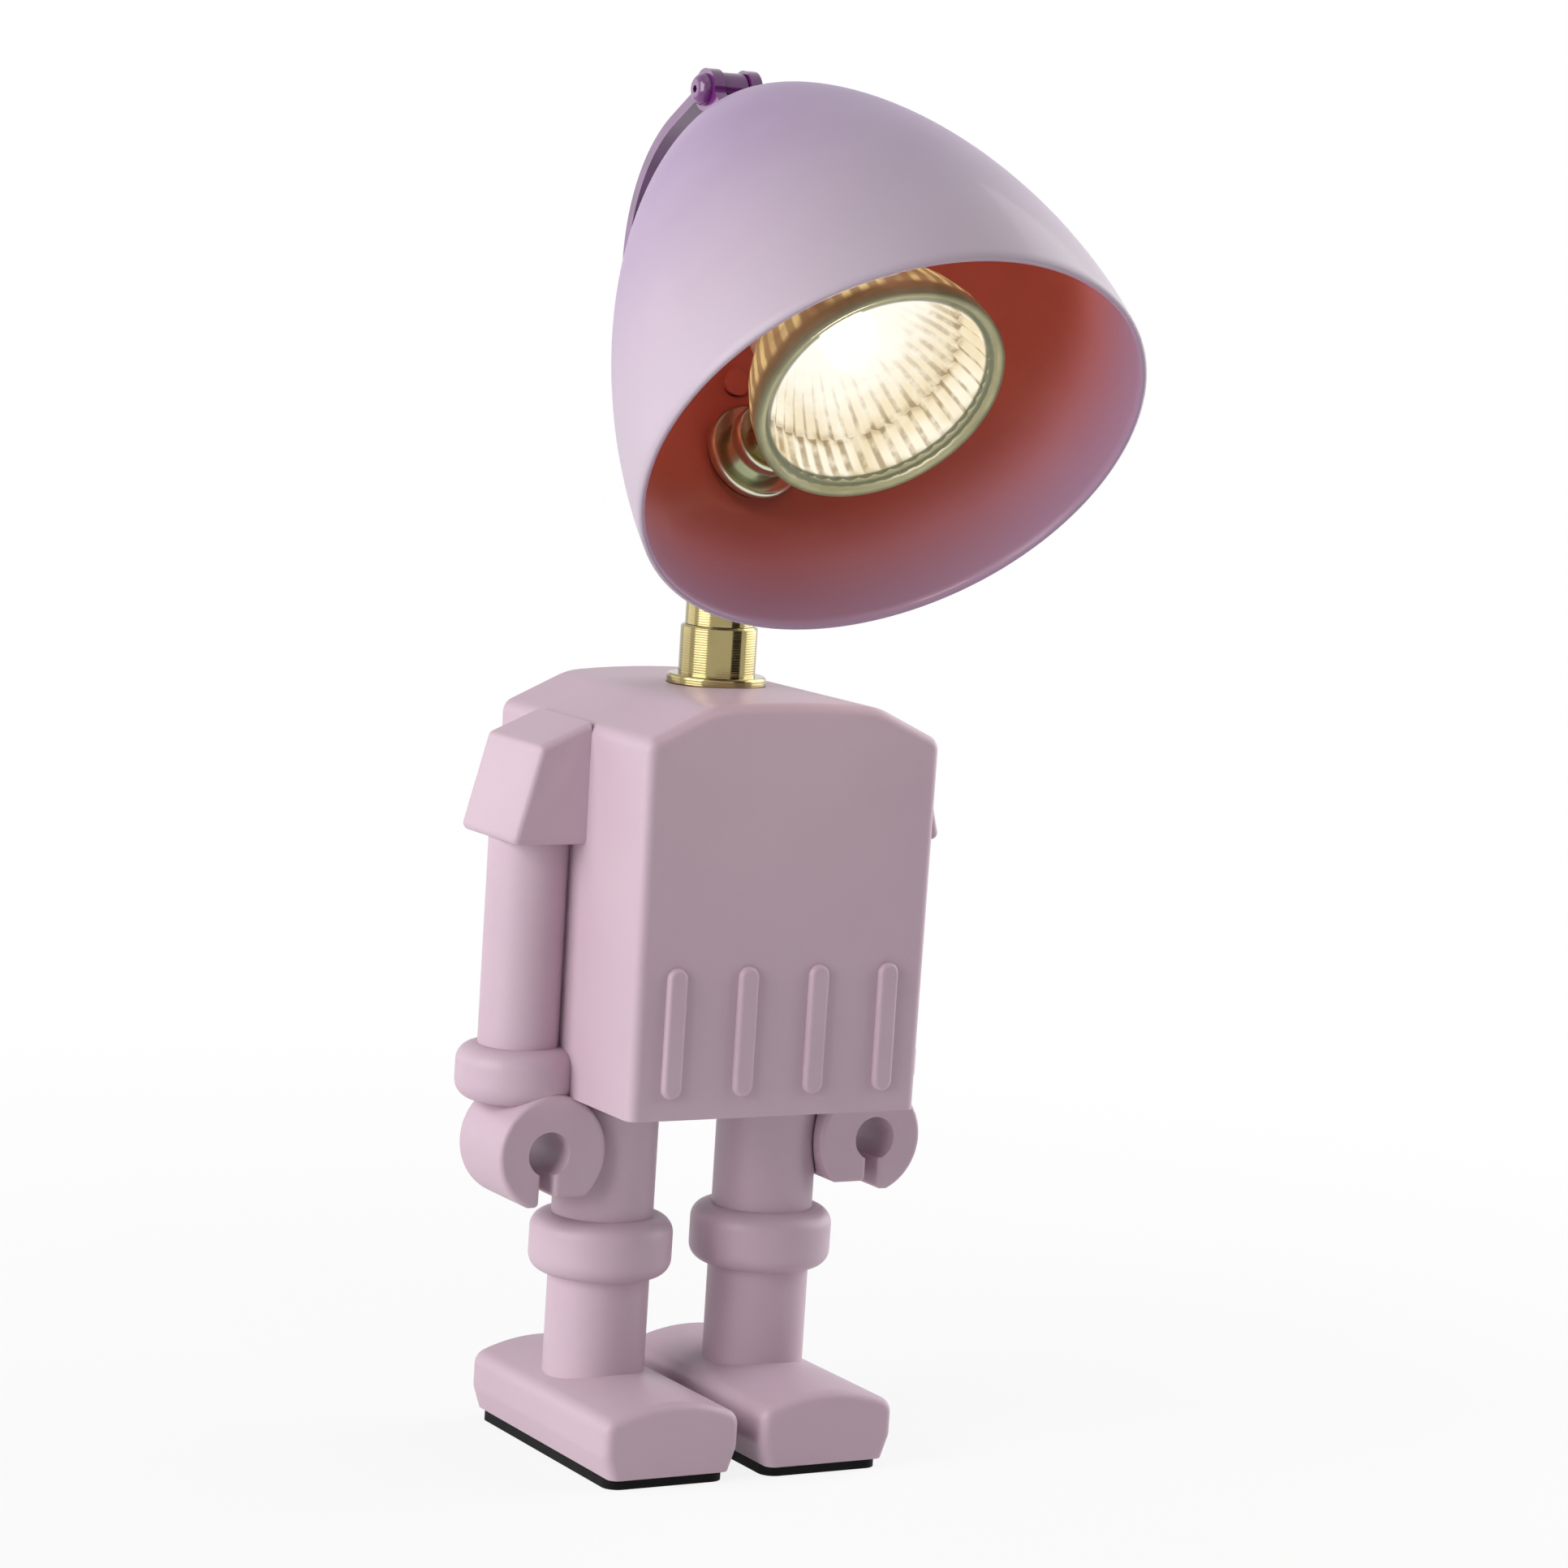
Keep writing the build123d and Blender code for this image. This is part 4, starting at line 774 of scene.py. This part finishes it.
# %% [markdown]
# ## Floor
# The lamp stands on a pale floor that runs into a white backdrop. To the camera, to gloss and to glass the
# floor mixes in plain white, all the more with distance, so its far edge can't be seen and yet the lamp's
# shadow stays. For all other light it is matt and pale, and throws a soft light back up on the lamp. Brighter
# lamps could whiten the floor too, but they would bleach the paint.

# %% Pale floor
floor_half = 3.0


def background_rays(graph):
    """1 for rays from the camera, from gloss and through glass, and 0 for all other light."""
    kinds = ("Is Camera Ray", "Is Glossy Ray", "Is Transmission Ray")
    camera_ray, gloss_ray, glass_ray = [graph.node("ShaderNodeLightPath", output=kind) for kind in kinds]
    return camera_ray.most(gloss_ray).most(glass_ray)


def pale_floor():
    finish = Finish("pale_floor")
    finish.surface(base_color=(0.86, 0.86, 0.86, 1.0), roughness=0.9, specular_ior_level=0.0)
    across, along = finish.split(finish.place)[:2]
    far = from_axis(across, along).over(0.05, 0.5)
    whiteness = background_rays(finish) * (0.86 + 0.135 * far)
    matt = Signal(finish, finish.shader.outputs[0])
    white = finish.node("ShaderNodeEmission", None, {"Color": (1, 1, 1, 1), "Strength": 1.0})
    mixed = finish.node("ShaderNodeMixShader", None, {0: whiteness, 1: matt, 2: white})
    finish.feed(finish.tree.nodes["Material Output"].inputs["Surface"], mixed)
    return finish.material


floor_mesh = bmesh.new()
bmesh.ops.create_grid(floor_mesh, x_segments=1, y_segments=1, size=floor_half)
floor = as_object(floor_mesh, "floor", [pale_floor()])

# %% [markdown]
# ## A dark card for the metal
# Polished brass shows its surroundings, and in an all-white studio it would look like pale plastic. A
# photographer puts a black card beside the camera, so that the metal has something dark to mirror. The same
# card stands here at the front right, and the camera doesn't see it.

# %% Dark card
card_half_width = 0.25
card_half_height = 0.30
card_place = (0.44, -0.82, 0.32)
card_turn = math.radians(28)


def flag_felt():
    finish = Finish("flag_felt")
    fibres = finish.noise(900.0, detail=3.0)
    return finish.surface(
        base_color=finish.blend(colour(34, 32, 33), colour(52, 48, 50), fibres),
        roughness=0.95,
        specular_ior_level=0.0,
    )


card_shape = Matrix.Diagonal((card_half_width, card_half_height, 1, 1))
upright = Matrix.Rotation(math.radians(90), 4, "X")
card_matrix = Matrix.Translation(card_place) @ Matrix.Rotation(card_turn, 4, "Z") @ upright @ card_shape
flag_mesh = bmesh.new()
bmesh.ops.create_grid(flag_mesh, x_segments=1, y_segments=1, size=1.0, matrix=card_matrix)
flag = as_object(flag_mesh, "flag", [flag_felt()])
flag.visible_camera = False

# %% [markdown]
# ## The world
# The world is plain white to the camera, to gloss and to glass, and gives a weak even light to everything
# else. A white world at full strength would fill every shadow, and a dark one would leave a grey backdrop,
# so the kind of ray decides. The Standard view shows a colour about as it is written.

# %% World
even_light = 0.12

world = bpy.data.worlds.new("studio")
world.use_nodes = True
scene.world = world
sky = Graph(world.node_tree)
background = sky.tree.nodes["Background"]
sky.feed(background.inputs["Color"], (1, 1, 1, 1))
sky.feed(background.inputs["Strength"], even_light + (1.0 - even_light) * background_rays(sky))
scene.view_settings.view_transform = "Standard"
print(world.name, "lights evenly at", even_light)

# %% [markdown]
# ## Studio lamps
# The key lamp is large and stands at the left, so the left sides of the body are bright and its front is in
# soft shade. A still larger one at the right keeps the far flank of the shade from going grey. Sun lamps or
# small spots would be simpler to aim, but the reflections of large lamps stay mild on satin paint.

# %% Lamps
aim = Vector((0, 0, 0.14))


def soft_lamp(name, place, size, power):
    """Square lamp, size metres wide, that looks at the figure's middle."""
    data = bpy.data.lights.new(name, "AREA")
    data.shape = "SQUARE"
    data.size = size
    data.energy = power
    lamp = bpy.data.objects.new(name, data)
    lamp.location = place
    lamp.rotation_euler = (aim - Vector(place)).to_track_quat("-Z", "Y").to_euler()
    scene.collection.objects.link(lamp)
    print(name, "gives", power, "W")


soft_lamp("key_left", (-1.3, -0.16, 0.55), 1.1, 19.0)
soft_lamp("rim_left", (-0.9, 1.1, 0.25), 1.0, 3.0)
soft_lamp("fill_top", (-0.2, -0.4, 1.5), 0.9, 1.2)
soft_lamp("fill_right", (1.35, 0.0, 0.62), 1.6, 25.0)

# %% [markdown]
# ## The bulb's own light
# The glowing mirror is only as bright as white paper, so it hardly lights the shade. Three small warm lamps
# stand for the beam in front of the bulb and for the light that leaks past its sides. They are children of
# the head's body, so the light follows when the head turns or tilts. One of them would show as a white dot
# on the bulb's glass, so it is hidden from gloss.

# %% Beam and leaks
bulb_warmth = (1.0, 0.86, 0.72)
bulb_softness = 6.0 * millimetre
beam_front = bulb_face - into_bulb * 14.0 * millimetre
bulb_back = bulb_face + into_bulb * 28.0 * millimetre
above_bulb = bulb_back - under_shade * 24.0 * millimetre
left_of_bulb = bulb_back + Vector((-26.0, 0, 0)) * millimetre


def glow_lamp(name, place, power, glint=True):
    """Small warm lamp that rides on the head."""
    data = bpy.data.lights.new(name, "POINT")
    data.energy = power
    data.color = bulb_warmth
    data.shadow_soft_size = bulb_softness
    lamp = bpy.data.objects.new(name, data)
    lamp.location = place
    lamp.parent = frame["bodies"]["head"]
    lamp.matrix_parent_inverse = lamp.parent.matrix_world.inverted()
    lamp.visible_glossy = glint
    scene.collection.objects.link(lamp)
    print(name, "gives", power, "W")


glow_lamp("beam", beam_front, 0.025)
glow_lamp("leak", above_bulb, 0.010)
glow_lamp("leak_left", left_of_bulb, 0.009, glint=False)
